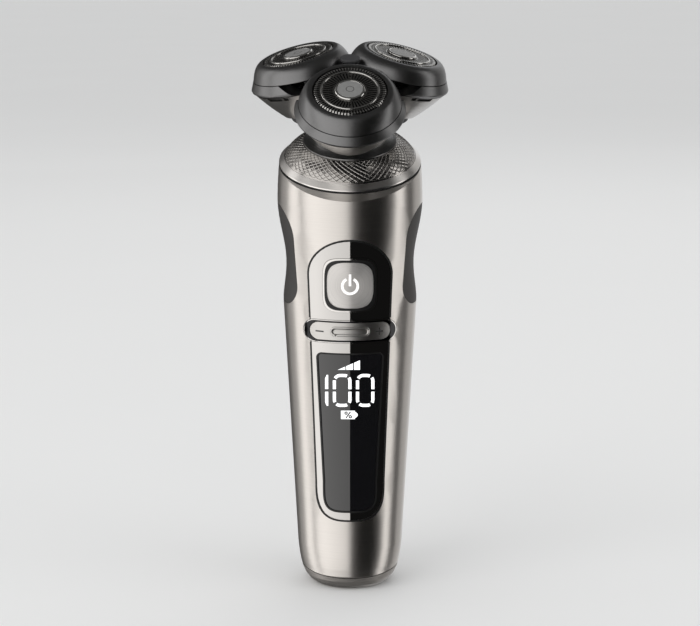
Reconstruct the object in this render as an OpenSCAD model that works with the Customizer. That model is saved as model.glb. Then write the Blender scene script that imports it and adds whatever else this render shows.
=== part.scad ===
// Rotary electric shaver: a round tapered handle, a control panel on its front and a tilted three-head unit.
// Millimetres. The handle axis is Z, the flat foot lies on z = 0 and the control panel faces -Y.

/* [Handle] */
// height of the centre of the slanted top seam
handle_h = 132.2; // [126:0.2:140]
// angle at which the top seam and the shaving unit lean forward
head_tilt = 20; // [16:0.5:22]
// radius of the flat face the handle stands on
foot_flat_r = 10; // [8:0.25:10.5]
// height of the rounded edge round the foot
foot_round_h = 9.5; // [8:0.25:11]
// handle radius at the lower end of the straight taper
low_r = 16.42; // [16:0.05:17]
// handle radius at the top seam
top_r = 21.7; // [21.4:0.05:22]
// how much wider than the top seam the shoulder is
shoulder_swell = 0.55; // [0.2:0.05:0.8]
// wall of the metal sleeve
sleeve_wall = 1.1; // [0.8:0.05:1.3]
// how much wider than the top seam the chamfered rim of the sleeve is
rim_over = 0.5; // [0.4:0.05:0.7]
// height of the thick rim inside the top of the sleeve
rim_h = 3; // [2.4:0.1:4]
// height of the foot seam on the handle axis
foot_seam_z = 6.2; // [5.8:0.1:6.6]
// slant of the foot seam, lower at the front
foot_seam_tilt = 8; // [4:0.5:9]

/* [Rear grip] */
// drop from the top seam to the highest point of the grip
grip_drop = 12.2; // [11.2:0.2:14]
// height of the grip
grip_h = 30.4; // [28:0.2:32]
// how far in front of the handle axis the grip reaches
grip_reach = 13.5; // [11:0.25:14]
// deepest hollow of the grip below the handle surface
grip_hollow = 1.65; // [0.8:0.05:1.9]
// thickness of the grip
grip_t = 1.6; // [1.2:0.1:2]

/* [Control panel] */
// lowest point of the panel frame
panel_z0 = 23.3; // [22:0.1:24]
// drop from the top seam to the highest point of the panel frame
panel_drop = 21.4; // [20.4:0.1:23]
// half width of the frame below its top arch
panel_top_hw = 12.6; // [12.2:0.1:13]
// half width of the frame above its bottom arch
panel_low_hw = 10.4; // [10.2:0.1:10.8]
// lowest point of the display lens
lens_z0 = 26.2; // [25.6:0.1:27]
// drop from the top seam to the highest point of the lens
lens_drop = 56.1; // [55.4:0.1:58]
// half width of the lens at its top
lens_top_hw = 10; // [9.4:0.1:10.3]
// half width of the lens above its bottom arch
lens_low_hw = 8.1; // [7.6:0.1:8.4]
// drop from the top seam to the centre of the power button
power_drop = 35; // [34.4:0.1:36]
// width and height of the power button
power_size = 14.2; // [13:0.1:14.6]
// width of the bright ring round the power button
bezel_w = 0.85; // [0.6:0.05:1]
// drop from the top seam to the centre of the speed rocker
rocker_drop = 49.2; // [48.6:0.1:50]
// length of the speed rocker
rocker_len = 24.2; // [22:0.2:24.8]
// height of the speed rocker
rocker_h = 5.4; // [4.6:0.1:5.6]
// how far the rocker's frame reaches past the slot at its ends
rocker_end = 1.75; // [1.2:0.05:1.8]
// how far the rocker's frame reaches past the slot above and below
rocker_lip = 0.55; // [0.5:0.05:0.8]
// travel of the power button
power_travel = 0.6; // [0.4:0.05:0.8]

/* [Handle inside] */
// radius of the battery cell
cell_r = 7; // [6:0.1:7.2]
// length of the battery cell without its cap
cell_len = 49; // [44:0.5:50]
// radius of the motor
motor_r = 9.5; // [8:0.1:10]
// length of the motor
motor_len = 24; // [20:0.5:26]
// thickness of the circuit board
board_t = 1; // [0.8:0.1:1.6]

/* [Collar and neck] */
// height of the bright shoulder ring
ring_h = 2.2; // [2:0.1:2.6]
// how far inside the top seam the foot of the knurled collar lies
collar_inset = 1.7; // [1.4:0.1:2]
// height of the top of the knurled collar
collar_top = 6.9; // [6.5:0.1:7.2]
// radius of the neck flange
neck_r = 14.1; // [13.5:0.1:14.6]
// radius of the neck at its top
neck_top_r = 9.8; // [9.2:0.1:10]
// height of the top of the neck
neck_top = 10.6; // [10.2:0.1:10.8]

/* [Gears] */
// module of the motor gears
motor_mod = 0.4; // [0.36:0.01:0.42]
// teeth of the motor pinion
pinion_teeth = 12; // [12:1:12]
// teeth of the drive shaft gear
drive_teeth = 18; // [18:1:18]
// module of the unit gears
unit_mod = 0.5; // [0.48:0.005:0.51]
// teeth of the sun gear
sun_teeth = 36; // [36:1:36]
// teeth of each planet gear
planet_teeth = 18; // [18:1:18]

/* [Shaving unit] */
// height of the seam under each head, along the tilted axis
head_seam_h = 26.9; // [26.4:0.1:27.6]
// distance of each head from the unit axis at that seam
head_seam_r = 16.8; // [16.6:0.1:17.2]
// outward lean of each head
head_lean = 16; // [14:0.5:17]
// outer radius of each head holder
holder_r = 15.1; // [14.8:0.05:15.3]
// height of each holder above its seam
holder_h = 4.8; // [4.4:0.1:5]
// radius of each slotted cap
cap_r = 10.8; // [10.2:0.05:11]
// outer radius of each cup
cup_r = 16.4; // [16.1:0.1:16.7]
// height of the dark band of each cup below its seam
cup_h = 3.5; // [3.2:0.1:4]
// slots in the outer track of a cap
outer_slots = 72; // [48:12:84]
// slots in the inner track of a cap
inner_slots = 48; // [36:12:60]
// blades on each cutter
blades = 12; // [9:3:15]
// half width of the frame arms between the heads
arm_hw = 2.2; // [1.6:0.1:2.3]

/* [Fits] */
// gap between neighbouring fixed pieces
fit = 0.08; // [0.05:0.01:0.1]
// gap round pieces that move
move_gap = 0.25; // [0.2:0.05:0.3]
// running clearance of the shafts
run = 0.05; // [0.03:0.01:0.08]
// width of the visible seam lines
seam_w = 0.3; // [0.2:0.05:0.4]
// depth of the visible seam lines
seam_d = 0.5; // [0.3:0.05:0.6]

/* [Hidden] */
$fn = 64;
big = 120;
taper_z = 15;
shoulder_z = handle_h - 12;
shoulder_r = top_r + shoulder_swell;
collar_r = top_r - collar_inset;
grip_z1 = handle_h - grip_drop;
grip_z0 = grip_z1 - grip_h;
panel_z1 = handle_h - panel_drop;
lens_z1 = handle_h - lens_drop;
power_z = handle_h - power_drop;
rocker_z = handle_h - rocker_drop;
body_top = handle_h + 14;

// Radius of the handle at a height.
foot_turn = 75;
foot_end_r = low_r - 0.92;
foot_w = (foot_end_r - foot_flat_r) / sin(foot_turn);
foot_end_z = foot_round_h * (1 - cos(foot_turn));
function mix(a, b, u) = a + (b - a) * u;
function foot_r(z) = foot_flat_r + foot_w * sqrt(max(0, 1 - pow(1 - z / foot_round_h, 2)));
function flare_r(u) = mix(foot_end_r, low_r, 1 - pow(1 - u, 1.7));
function upper_r(u) = mix(shoulder_r, top_r, u * u);
function body_r(z) =
  z <= foot_end_z ? foot_r(z)
  : z < taper_z ? flare_r((z - foot_end_z) / (taper_z - foot_end_z))
  : z < shoulder_z ? mix(low_r, shoulder_r, (z - taper_z) / (shoulder_z - taper_z))
  : z < handle_h ? upper_r((z - shoulder_z) / (handle_h - shoulder_z))
  : top_r;
foot_steps = [for (i = [0:5]) foot_round_h * (1 - cos(i * foot_turn / 5))];
flare_steps = [for (i = [1:4]) mix(foot_end_z, taper_z, i / 4)];
upper_steps = [for (i = [0:5]) mix(shoulder_z, handle_h, i / 5)];
body_steps = concat(foot_steps, flare_steps, upper_steps, [body_top]);
function reversed(v) = [for (i = [len(v) - 1:-1:0]) v[i]];
function profile(steps, off) = [for (z = steps) [body_r(z) + off, z]];

// A ring of the handle wall between two offsets from its surface.
module body_band(z0, z1, inner, outer) {
  inside = [for (z = body_steps) if (z > z0 && z < z1) z];
  steps = concat([z0], inside, [z1]);
  rotate_extrude($fn = 96) polygon(concat(profile(steps, outer), reversed(profile(steps, inner))));
}

// The handle turned solid, shrunk by an inset.
module body_solid(off) {
  rotate_extrude($fn = 96) polygon(concat([[0, 0]], profile(body_steps, off), [[0, body_top]]));
}

// Frames: the tilted top, one head on it, and the front of the handle.
module top_frame() {
  translate([0, 0, handle_h]) rotate([head_tilt, 0, 0]) children();
}
module around(k) {
  rotate([0, 0, 120 * k]) children();
}
module head_frame(k) {
  around(k) translate([0, -head_seam_r, head_seam_h]) rotate([head_lean, 0, 0]) children();
}
module below_top(h) {
  top_frame() translate([-big, -big, h - 2 * big]) cube(2 * big);
}
module above_foot(gap) {
  translate([0, 0, foot_seam_z + gap]) rotate([foot_seam_tilt, 0, 0]) {
    translate([-big, -big, 0]) cube(2 * big);
  }
}
module front_prism() {
  rotate([90, 0, 0]) linear_extrude(height = 40) children();
}
module side_prism() {
  rotate([90, 0, 90]) linear_extrude(height = 80, center = true) children();
}

// Flat outlines.
function arch(hw, h, z, from, to, n) =
  [for (i = [0:n]) [hw * cos(mix(from, to, i / n)), z + h * sin(mix(from, to, i / n))]];
function squircle(half, n) =
  [for (i = [0:47]) [
    half * sign(cos(i * 7.5)) * pow(abs(cos(i * 7.5)), 2 / n),
    half * sign(sin(i * 7.5)) * pow(abs(sin(i * 7.5)), 2 / n)]];
panel_arch = 10.5;
panel_bowl = 12.5;
lens_corner = 1.2;
lens_bowl = 9.5;
module panel_outline(grow) {
  polygon(concat(
    arch(panel_top_hw + grow, panel_arch + grow, panel_z1 - panel_arch, 0, 180, 20),
    arch(panel_low_hw + grow, panel_bowl + grow, panel_z0 + panel_bowl, 180, 360, 20)));
}
module lens_outline(grow) {
  polygon(concat(
    [[lens_top_hw + grow, lens_z1 - lens_corner], [lens_top_hw + grow - lens_corner, lens_z1 + grow]],
    [[lens_corner - lens_top_hw - grow, lens_z1 + grow], [-lens_top_hw - grow, lens_z1 - lens_corner]],
    arch(lens_low_hw + grow, lens_bowl + grow, lens_z0 + lens_bowl, 180, 360, 18)));
}
module pill(half, h, z) {
  translate([h / 2 - half, z]) circle(d = h);
  translate([half - h / 2, z]) circle(d = h);
  translate([h / 2 - half, z - h / 2]) square([2 * half - h, h]);
}
rocker_slot = rocker_h + 2 * move_gap;
rocker_slot_half = rocker_len / 2 + move_gap;
module rocker_hole() {
  pill(rocker_slot_half, rocker_slot, rocker_z);
}
module rocker_rim(grow) {
  pill(rocker_slot_half + rocker_end + grow, rocker_slot + 2 * rocker_lip + 2 * grow, rocker_z);
}
module power_outline(grow) {
  translate([0, power_z]) polygon(squircle(power_size / 2 + grow, 4.5));
}
grip_upper = 10;
grip_lower = 6.5;
module grip_outline(grow) {
  front = -grip_reach - grow;
  z0 = grip_z0 - grow;
  z1 = grip_z1 + grow;
  back = 40;
  translate([front + grip_upper, z1 - grip_upper]) circle(grip_upper);
  translate([front + grip_lower, z0 + grip_lower]) circle(grip_lower);
  translate([front, z0 + grip_lower]) square([back, z1 - grip_upper - z0 - grip_lower]);
  translate([front + grip_upper, z1 - grip_upper]) square([back, grip_upper]);
  translate([front + grip_lower, z0]) square([back, grip_lower]);
}

// Metal sleeve: a turned tube, slanted at both ends, open for the panel and the grip.
rim_in = top_r - sleeve_wall - 0.2;
rim_slope = 1.3;
module sleeve_rim() {
  intersection() {
    body_solid(-sleeve_wall / 3);
    top_frame() difference() {
      translate([0, 0, -rim_h]) cylinder(r = 30, h = rim_h + 5);
      translate([0, 0, -rim_h - 1]) cylinder(r = rim_in, h = rim_h + 8, $fn = 96);
    }
  }
}
module sleeve() {
  color([0.78, 0.76, 0.73]) difference() {
    intersection() {
      union() {
        body_band(0.6, body_top - 0.5, -sleeve_wall, 0);
        sleeve_rim();
      }
      below_top(0);
      above_foot(seam_w - fit / 2);
      top_frame() translate([0, 0, -2 * big]) {
        cylinder(r1 = top_r + rim_over + 2 * big * rim_slope, r2 = top_r + rim_over, h = 2 * big, $fn = 96);
      }
    }
    front_prism() panel_outline(fit);
    front_prism() rocker_rim(fit);
    side_prism() grip_outline(fit);
  }
}

// Soft grip: a hollowed saddle round the back.
function grip_u(z) = pow(max(0, min(1, (z - grip_z0) / (grip_z1 - grip_z0))), 0.85);
function grip_r(z) = body_r(z) - grip_hollow * pow(sin(180 * grip_u(z)), 2);
grip_steps = [for (i = [0:14]) mix(grip_z0 - 0.5, grip_z1 + 0.5, i / 14)];
module rear_grip() {
  outer = [for (z = grip_steps) [grip_r(z), z]];
  inner = [for (z = reversed(grip_steps)) [grip_r(z) - grip_t, z]];
  color([0.22, 0.21, 0.2]) intersection() {
    rotate_extrude($fn = 96) polygon(concat(outer, inner));
    side_prism() grip_outline(0);
  }
}

// Foot: a shallow bowl with a collar that enters the sleeve, its seal and the coil in it.
spigot_r = body_r(foot_seam_z - 2.2) - sleeve_wall - 0.3;
foot_floor = 1.6;
spigot_top = foot_seam_z + body_r(foot_seam_z) * tan(foot_seam_tilt) + 1.3;
seal_z = spigot_top - 0.9;
module base_cap() {
  color([0.45, 0.43, 0.41]) difference() {
    union() {
      difference() {
        body_solid(0);
        above_foot(-fit / 2);
      }
      translate([0, 0, 2.4]) cylinder(r = spigot_r, h = spigot_top - 2.4);
    }
    translate([0, 0, foot_floor]) cylinder(r1 = foot_flat_r - 0.6, r2 = spigot_r - 1.3, h = 2.4);
    translate([0, 0, foot_floor + 2.3]) cylinder(r = spigot_r - 1.3, h = 30);
  }
}
module base_seal() {
  seal_r = body_r(seal_z) - sleeve_wall - fit;
  color([0.12, 0.12, 0.12]) translate([0, 0, seal_z]) difference() {
    cylinder(r = seal_r, h = 0.8);
    translate([0, 0, -1]) cylinder(r = spigot_r + fit, h = 3);
  }
}
module charging_coil() {
  coil_r = foot_flat_r - 1.2;
  color([0.72, 0.42, 0.24]) translate([0, 0, foot_floor + fit]) {
    difference() {
      cylinder(r = coil_r, h = 1);
      translate([0, 0, -1]) cylinder(r = coil_r - 4.6, h = 4);
    }
    translate([0, 0, 1]) cylinder(r = coil_r, h = 0.7);
  }
}

// Panel frame, button ring, rocker frame and lens, all turned with the handle.
panel_deep = 1.7;
rim_deep = 0.9;
pivot_r = 0.7;
pivot_y = 2.6 - body_r(rocker_z);
ear_gap = rocker_h / 2 + move_gap + 0.2;
ear_t = 1.2;
module fascia() {
  color([0.12, 0.12, 0.13]) difference() {
    union() {
      for (s = [-1, 1]) {
        translate([-1.7, pivot_y - 1.4, rocker_z + s * (ear_gap + ear_t / 2) - ear_t / 2]) {
          cube([3.4, 2.7, ear_t]);
        }
      }
      difference() {
        intersection() {
          body_band(panel_z0 - 3, panel_z1 + 3, -panel_deep, 0.12);
          front_prism() panel_outline(0);
        }
        front_prism() rocker_rim(fit);
        intersection() {
          body_band(panel_z0 - 5, panel_z1 + 5, -seam_d, 2);
          front_prism() difference() {
            panel_outline(2);
            panel_outline(-seam_w);
          }
        }
      }
      intersection() {
        body_band(rocker_z - 8, rocker_z + 8, -panel_deep + 0.1, -rim_deep - fit);
        front_prism() {
          rocker_rim(fit / 2);
          intersection() {
            rocker_rim(1);
            panel_outline(-0.4);
          }
        }
      }
    }
    front_prism() power_outline(move_gap + bezel_w + fit);
    front_prism() rocker_hole();
    front_prism() lens_outline(fit);
    translate([0, pivot_y, rocker_z - ear_gap - ear_t - 0.1]) {
      cylinder(r = pivot_r + run, h = 2 * (ear_gap + ear_t) + 0.2, $fn = 32);
    }
  }
}
module button_bezel() {
  color([0.86, 0.86, 0.86]) difference() {
    intersection() {
      body_band(power_z - 12, power_z + 12, -panel_deep, 0.4);
      front_prism() power_outline(move_gap + bezel_w);
    }
    front_prism() power_outline(move_gap);
  }
}
module rocker_bezel() {
  color([0.1, 0.1, 0.1]) difference() {
    intersection() {
      body_band(rocker_z - 8, rocker_z + 8, -rim_deep, 0.2);
      front_prism() rocker_rim(0);
    }
    front_prism() rocker_hole();
    intersection() {
      body_band(rocker_z - 9, rocker_z + 9, -seam_d, 2);
      front_prism() difference() {
        rocker_rim(2);
        rocker_rim(-seam_w);
      }
    }
  }
}
module display_lens() {
  color([0.05, 0.05, 0.06]) intersection() {
    body_band(lens_z0 - 3, lens_z1 + 3, -panel_deep + 0.1, -0.1);
    front_prism() lens_outline(0);
  }
}

// Power button and speed rocker with the plungers behind them.
board_y = -9.5;
switch_y = board_y - fit - 3;
plunger_gap = power_travel + 0.15;
plunger_y = switch_y - plunger_gap;
button_deep = 3;
module plunger(x, z, r) {
  reach = body_r(z) - button_deep + 0.6;
  translate([x, plunger_y, z]) rotate([90, 0, 0]) cylinder(r = r, h = reach + plunger_y - x * x / 60);
}
module power_button() {
  color([0.8, 0.8, 0.8]) {
    intersection() {
      body_band(power_z - 12, power_z + 12, -button_deep, 0.25);
      front_prism() power_outline(0);
    }
    plunger(0, power_z, 2);
  }
}
scoop_half = 6;
scoop_h = 3;
scoop_deep = 0.7;
switch_x = 7.6;
module speed_rocker() {
  color([0.75, 0.75, 0.75]) {
    difference() {
      intersection() {
        body_band(rocker_z - 6, rocker_z + 6, -button_deep, 0.1);
        front_prism() pill(rocker_len / 2, rocker_h, rocker_z);
      }
      intersection() {
        rotate_extrude($fn = 96) polygon([
          [body_r(rocker_z) - scoop_deep, rocker_z + scoop_h / 2 + 0.1], [30, rocker_z + scoop_h / 2 + 0.1],
          [30, rocker_z - scoop_h / 2 - 0.1], [body_r(rocker_z) + 0.02, rocker_z - scoop_h / 2 - 0.1]]);
        front_prism() pill(scoop_half, scoop_h, rocker_z);
      }
    }
    for (s = [-1, 1]) plunger(s * switch_x, rocker_z, 1.2);
    translate([0, pivot_y, rocker_z - ear_gap - ear_t]) {
      cylinder(r = pivot_r, h = 2 * (ear_gap + ear_t), $fn = 32);
    }
  }
}

// Board with its display and switches.
rail_x = 10.3;
rail_t = 1.2;
board_hw = rail_x + rail_t - 0.5;
board_z0 = 20;
board_z1 = grip_z1 - 14;
module box_at(x, y, z, w, d, h) {
  translate([x - w / 2, y, z]) cube([w, d, h]);
}
module circuit_board() {
  color([0.1, 0.32, 0.16]) difference() {
    box_at(0, board_y, board_z0, 2 * board_hw, board_t, board_z1 - board_z0);
    for (z = [board_z0 + 4, board_z1 - 4]) {
      translate([0, board_y - 1, z]) rotate([-90, 0, 0]) cylinder(r = 1.1, h = 4, $fn = 24);
    }
  }
}
module display_module() {
  color([0.18, 0.18, 0.2]) {
    box_at(0, switch_y - 0.5, lens_z0 + 4, 2 * lens_low_hw - 1.6, 3.5, lens_z1 - lens_z0 - 6);
  }
}
module tact_switch(x, z, w) {
  box_at(x, board_y - fit - 2.4, z - w / 2, w, 2.4, w);
  translate([x, board_y - fit - 2.4, z]) rotate([90, 0, 0]) cylinder(r = w * 0.27, h = 0.6, $fn = 24);
}
module tact_switches() {
  color([0.6, 0.6, 0.58]) {
    tact_switch(0, power_z, 6);
    for (s = [-1, 1]) tact_switch(s * switch_x, rocker_z, 4.4);
  }
}

// Frame inside the handle: foot disc, cell cradle, cross plate and board rails.
cell_y = 2;
disc_z = spigot_top + fit;
disc_t = 1;
cell_z = disc_z + disc_t + fit;
cross_z = cell_z + cell_len + 3.2;
rail_back = cell_y + 4;
rail_front = board_y + board_t + fit;
module chassis() {
  cradle_r = cell_r + fit;
  color([0.3, 0.3, 0.32]) difference() {
    union() {
      translate([0, 0, disc_z]) cylinder(r = body_r(disc_z) - sleeve_wall - 0.25, h = disc_t);
      translate([0, cell_y, disc_z]) cylinder(r = cradle_r + 1.3, h = cross_z - disc_z);
      translate([0, 0, cross_z]) cylinder(r = body_r(cross_z) - sleeve_wall - 0.3, h = 1.4);
      for (s = [-1, 1]) {
        box_at(s * (rail_x + rail_t / 2), rail_front, board_z0,
          rail_t, rail_back - rail_front, board_z1 - board_z0);
        box_at(s * (rail_x - 1.4), rail_back - 2, disc_z, 3, 2, cross_z - disc_z);
      }
    }
    translate([0, cell_y, disc_z + disc_t]) cylinder(r = cradle_r, h = cell_len + 3);
    translate([-rail_x, -30, disc_z + disc_t]) cube([2 * rail_x, 30, cross_z - disc_z - disc_t]);
    translate([-rail_x, -30, cross_z - 1]) cube([2 * rail_x, 30 + rail_front + 3, 4]);
    translate([-30, -30 + rail_front, cross_z - 1]) cube([60, 30, 4]);
  }
}
module battery_cell() {
  color([0.2, 0.42, 0.6]) translate([0, cell_y, cell_z + 0.6]) {
    cylinder(r = cell_r, h = cell_len);
    cylinder(r = 2.8, h = cell_len + 1, $fn = 32);
  }
}
module battery_contacts() {
  color([0.8, 0.7, 0.4]) {
    translate([0, cell_y, cell_z]) cylinder(r = cell_r - 1, h = 0.5, $fn = 32);
    translate([0, cell_y, cell_z + cell_len + 1.7]) cylinder(r = cell_r - 2, h = 0.5, $fn = 32);
  }
}

// Motor, its gear plate and the gears, on axes parallel to the tilted top.
motor_off = motor_mod * (pinion_teeth + drive_teeth) / 2;
plate_h = -9.4;
plate_t = 1.2;
gear_h = -7.6;
gear_t = 3;
motor_top = plate_h - fit;
post_r = 14;
post_turns = [30, 150, 210, 330];
module motor_axis() {
  translate([0, -motor_off, 0]) children();
}
module at_posts() {
  for (a = post_turns) rotate([0, 0, a]) translate([post_r, 0, 0]) children();
}
function gear_points(m, n, play) = [for (i = [0:n - 1]) for (j = [0:3])
  let (r = m * n / 2, a = 360 / n, half = a / 4 - play)
  let (ro = r + 0.9 * m, ri = r - 1.1 * m, tip = half * 0.52, root = half * 1.42)
  let (ang = i * a + [-root, -tip, tip, root][j], rr = [ri, ro, ro, ri][j])
  [rr * cos(ang), rr * sin(ang)]];
module gear(m, n, h, turn, play = 0.9) {
  rotate([0, 0, turn]) linear_extrude(height = h) polygon(gear_points(m, n, play));
}
module motor_can() {
  color([0.62, 0.62, 0.64]) top_frame() motor_axis() difference() {
    union() {
      translate([0, 0, motor_top - motor_len]) cylinder(r = motor_r, h = motor_len);
      translate([0, 0, motor_top - 1]) cylinder(r = 3, h = 1 + plate_t, $fn = 40);
      translate([0, 0, motor_top - motor_len - 1.4]) cylinder(r = 3, h = 2, $fn = 40);
    }
    translate([0, 0, motor_top - 8]) cylinder(r = 1 + run, h = 20, $fn = 32);
  }
}
module motor_pinion() {
  color([0.85, 0.75, 0.4]) top_frame() motor_axis() {
    translate([0, 0, motor_top - 7.5]) cylinder(r = 1, h = gear_h - motor_top + 8, $fn = 32);
    translate([0, 0, gear_h]) gear(motor_mod, pinion_teeth, gear_t, 90, 2.4);
  }
}
module gear_plate() {
  color([0.55, 0.55, 0.56]) top_frame() difference() {
    translate([0, 0, plate_h]) cylinder(r = post_r + 2.4, h = plate_t);
    translate([0, -motor_off, plate_h - 1]) cylinder(r = 3 + fit, h = 4, $fn = 40);
    translate([0, 0, plate_h - 1]) cylinder(r = 1.5 + run, h = 4, $fn = 40);
    at_posts() translate([0, 0, plate_h - 1]) cylinder(r = 0.9, h = 4, $fn = 24);
  }
}
module gear_plate_screws() {
  color([0.7, 0.7, 0.7]) top_frame() at_posts() {
    translate([0, 0, plate_h - fit - 0.9]) cylinder(r = 1.5, h = 0.9, $fn = 24);
    translate([0, 0, plate_h - fit]) cylinder(r = 0.8, h = 4.5, $fn = 24);
  }
}
module drive_gear() {
  color([0.85, 0.83, 0.78]) top_frame() difference() {
    translate([0, 0, gear_h]) gear(motor_mod, drive_teeth, gear_t, -90 + 180 / drive_teeth, 1.6);
    translate([0, 0, gear_h - 1]) cylinder(r = 1.5, h = gear_t + 2, $fn = 40);
  }
}
shaft_r = 2;
hex_h = neck_top + 2.3;
hex_len = 3.5;
module drive_shaft() {
  color([0.75, 0.75, 0.76]) top_frame() {
    translate([0, 0, plate_h + 0.1]) cylinder(r = 1.5, h = gear_h + gear_t - plate_h - 0.1, $fn = 40);
    translate([0, 0, gear_h + gear_t]) cylinder(r = shaft_r, h = hex_h - gear_h - gear_t, $fn = 40);
    translate([0, 0, hex_h]) linear_extrude(height = hex_len) {
      polygon([for (i = [0:5]) 1.9 * [cos(60 * i), sin(60 * i)]]);
    }
  }
}

// Closing plate under the collar, with the shaft bush.
top_plate_r = top_r - sleeve_wall - 2;
top_plate_t = 3;
bush_r = shaft_r + 1.6;
module top_plate() {
  color([0.3, 0.3, 0.31]) top_frame() difference() {
    union() {
      translate([0, 0, -top_plate_t]) cylinder(r = top_plate_r, h = top_plate_t);
      at_posts() translate([0, 0, plate_h + plate_t + fit]) {
        cylinder(r = 1.8, h = -plate_h - plate_t - 2, $fn = 32);
      }
    }
    translate([0, 0, -10]) cylinder(r = bush_r + 0.02, h = 20, $fn = 48);
    at_posts() translate([0, 0, plate_h]) cylinder(r = 0.9, h = plate_t + 4.6, $fn = 24);
  }
}
module neck_bearing() {
  color([0.78, 0.6, 0.3]) top_frame() translate([0, 0, -top_plate_t]) difference() {
    cylinder(r = bush_r, h = top_plate_t, $fn = 48);
    translate([0, 0, -1]) cylinder(r = shaft_r + run, h = 10, $fn = 40);
  }
}

// Shoulder ring, knurled collar, neck and shaft seal.
ring_in = collar_r - 3.5;
ledge = 1.2;
module shoulder_ring() {
  groove_r = top_r - seam_d - 0.3;
  color([0.9, 0.9, 0.9]) top_frame() rotate_extrude($fn = 96) polygon([
    [ring_in, fit], [groove_r, fit], [groove_r, seam_w + fit], [top_r, seam_w + fit],
    [top_r - 0.12, ring_h - 1.4], [collar_r + 0.35, ring_h - 0.25],
    [collar_r + fit, ring_h], [collar_r + fit, ledge], [ring_in, ledge]]);
}
function bend(a, b, c, u) = a * (1 - u) * (1 - u) + 2 * b * u * (1 - u) + c * u * u;
function curve(a, b, c, n) = [for (i = [0:n]) bend(a, b, c, i / n)];
module knurled_collar() {
  swell = [mix(neck_r, collar_r, 0.62), collar_top - 1.3];
  outer = curve([collar_r, ring_h], swell, [neck_r + 0.1, collar_top], 8);
  color([0.3, 0.3, 0.31]) top_frame() rotate_extrude($fn = 96) polygon(concat(
    [[ring_in + 1.6, ledge + fit], [collar_r, ledge + fit]], outer,
    [[neck_r - 1.2, collar_top], [neck_r - 1.2, collar_top - 1.3], [ring_in + 1.6, ring_h - 0.2]]));
}
seal_h = neck_top - 2.4;
seal_out = shaft_r + 2.2;
module neck_ring() {
  outer = curve([neck_r, collar_top + 0.55], [neck_top_r + 0.7, collar_top + 0.9], [neck_top_r, neck_top], 8);
  color([0.33, 0.33, 0.34]) top_frame() rotate_extrude($fn = 96) polygon(concat(
    [[shaft_r + 0.6, fit], [neck_r - 1.3, fit]],
    [[neck_r - 1.3, collar_top + fit], [neck_r, collar_top + fit]], outer,
    [[seal_out + fit, neck_top], [seal_out + fit, seal_h], [shaft_r + 0.6, seal_h]]));
}
module shaft_seal() {
  color([0.1, 0.1, 0.1]) top_frame() translate([0, 0, seal_h + fit]) difference() {
    cylinder(r = seal_out, h = neck_top - seal_h - fit, $fn = 48);
    translate([0, 0, -1]) cylinder(r = shaft_r + run, h = 10, $fn = 40);
  }
}

// Fixed part of the shaving unit: gear housing, its cover, the frame between the heads and the hinge pins.
gear_r = unit_mod * (sun_teeth + planet_teeth) / 2;
sun_out = unit_mod * (sun_teeth / 2 + 0.9);
planet_out = unit_mod * (planet_teeth / 2 + 0.9);
pocket_gap = 0.35;
house_wall = 0.85;
house_h = neck_top + 0.1;
floor_h = house_h + 1.9;
pocket_top = floor_h + 4.6;
cover_t = 0.8;
cover_top = pocket_top + cover_t;
ball_h = head_seam_h - (head_seam_r - gear_r) / tan(head_lean);
pin_r = 0.8;
pin_dist = 6;
pin_h = cover_top + 2.6;
module clover(grow) {
  circle(r = sun_out + grow);
  for (k = [0:2]) around(k) translate([0, -gear_r]) circle(r = planet_out + grow);
}
skirt_r = neck_top_r + 1.4;
module unit_base() {
  color([0.2, 0.2, 0.21]) top_frame() difference() {
    union() {
      translate([0, 0, floor_h - 0.9]) linear_extrude(height = pocket_top - floor_h + 0.9) {
        clover(pocket_gap + house_wall);
      }
      translate([0, 0, house_h]) cylinder(r1 = skirt_r, r2 = sun_out + 3.4, h = floor_h - house_h);
      translate([0, 0, house_h - 1.2]) cylinder(r = skirt_r, h = 1.3);
    }
    translate([0, 0, floor_h]) linear_extrude(height = 10) clover(pocket_gap);
    translate([0, 0, house_h - 2]) cylinder(r = skirt_r - 0.8, h = 2);
    translate([0, 0, 0]) cylinder(r = shaft_r + 1, h = 30, $fn = 40);
    for (k = [0:2]) around(k) translate([0, -gear_r, floor_h - 1.1]) cylinder(r = 1.4 + run, h = 4, $fn = 32);
  }
}
spindle_hole = 3.7;
module gear_cover() {
  color([0.2, 0.2, 0.21]) top_frame() difference() {
    union() {
      translate([0, 0, pocket_top + fit / 2]) linear_extrude(height = cover_t) {
        clover(pocket_gap + house_wall);
      }
      for (k = [0:2]) around(k) for (s = [-1, 1]) {
        translate([s * 3.6 - 0.7, -pin_dist - 1.5, pocket_top + 0.4]) {
          cube([1.4, 3, pin_h + 1.4 - pocket_top - 0.4]);
        }
      }
    }
    translate([0, 0, pocket_top - 1]) cylinder(r = 3 + run, h = 4, $fn = 40);
    for (k = [0:2]) around(k) {
      translate([0, -gear_r, pocket_top - 1]) cylinder(r = spindle_hole, h = 4, $fn = 40);
      translate([-6, -pin_dist, pin_h]) rotate([0, 90, 0]) cylinder(r = pin_r, h = 12, $fn = 32);
    }
  }
}
module hinge_pins() {
  color([0.7, 0.7, 0.7]) top_frame() for (k = [0:2]) around(k) {
    translate([-4.3, -pin_dist, pin_h]) rotate([0, 90, 0]) cylinder(r = pin_r, h = 8.6, $fn = 32);
  }
}
arm_top = head_seam_h - 1.4;
arm_len = head_seam_r - 1.2;
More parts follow.
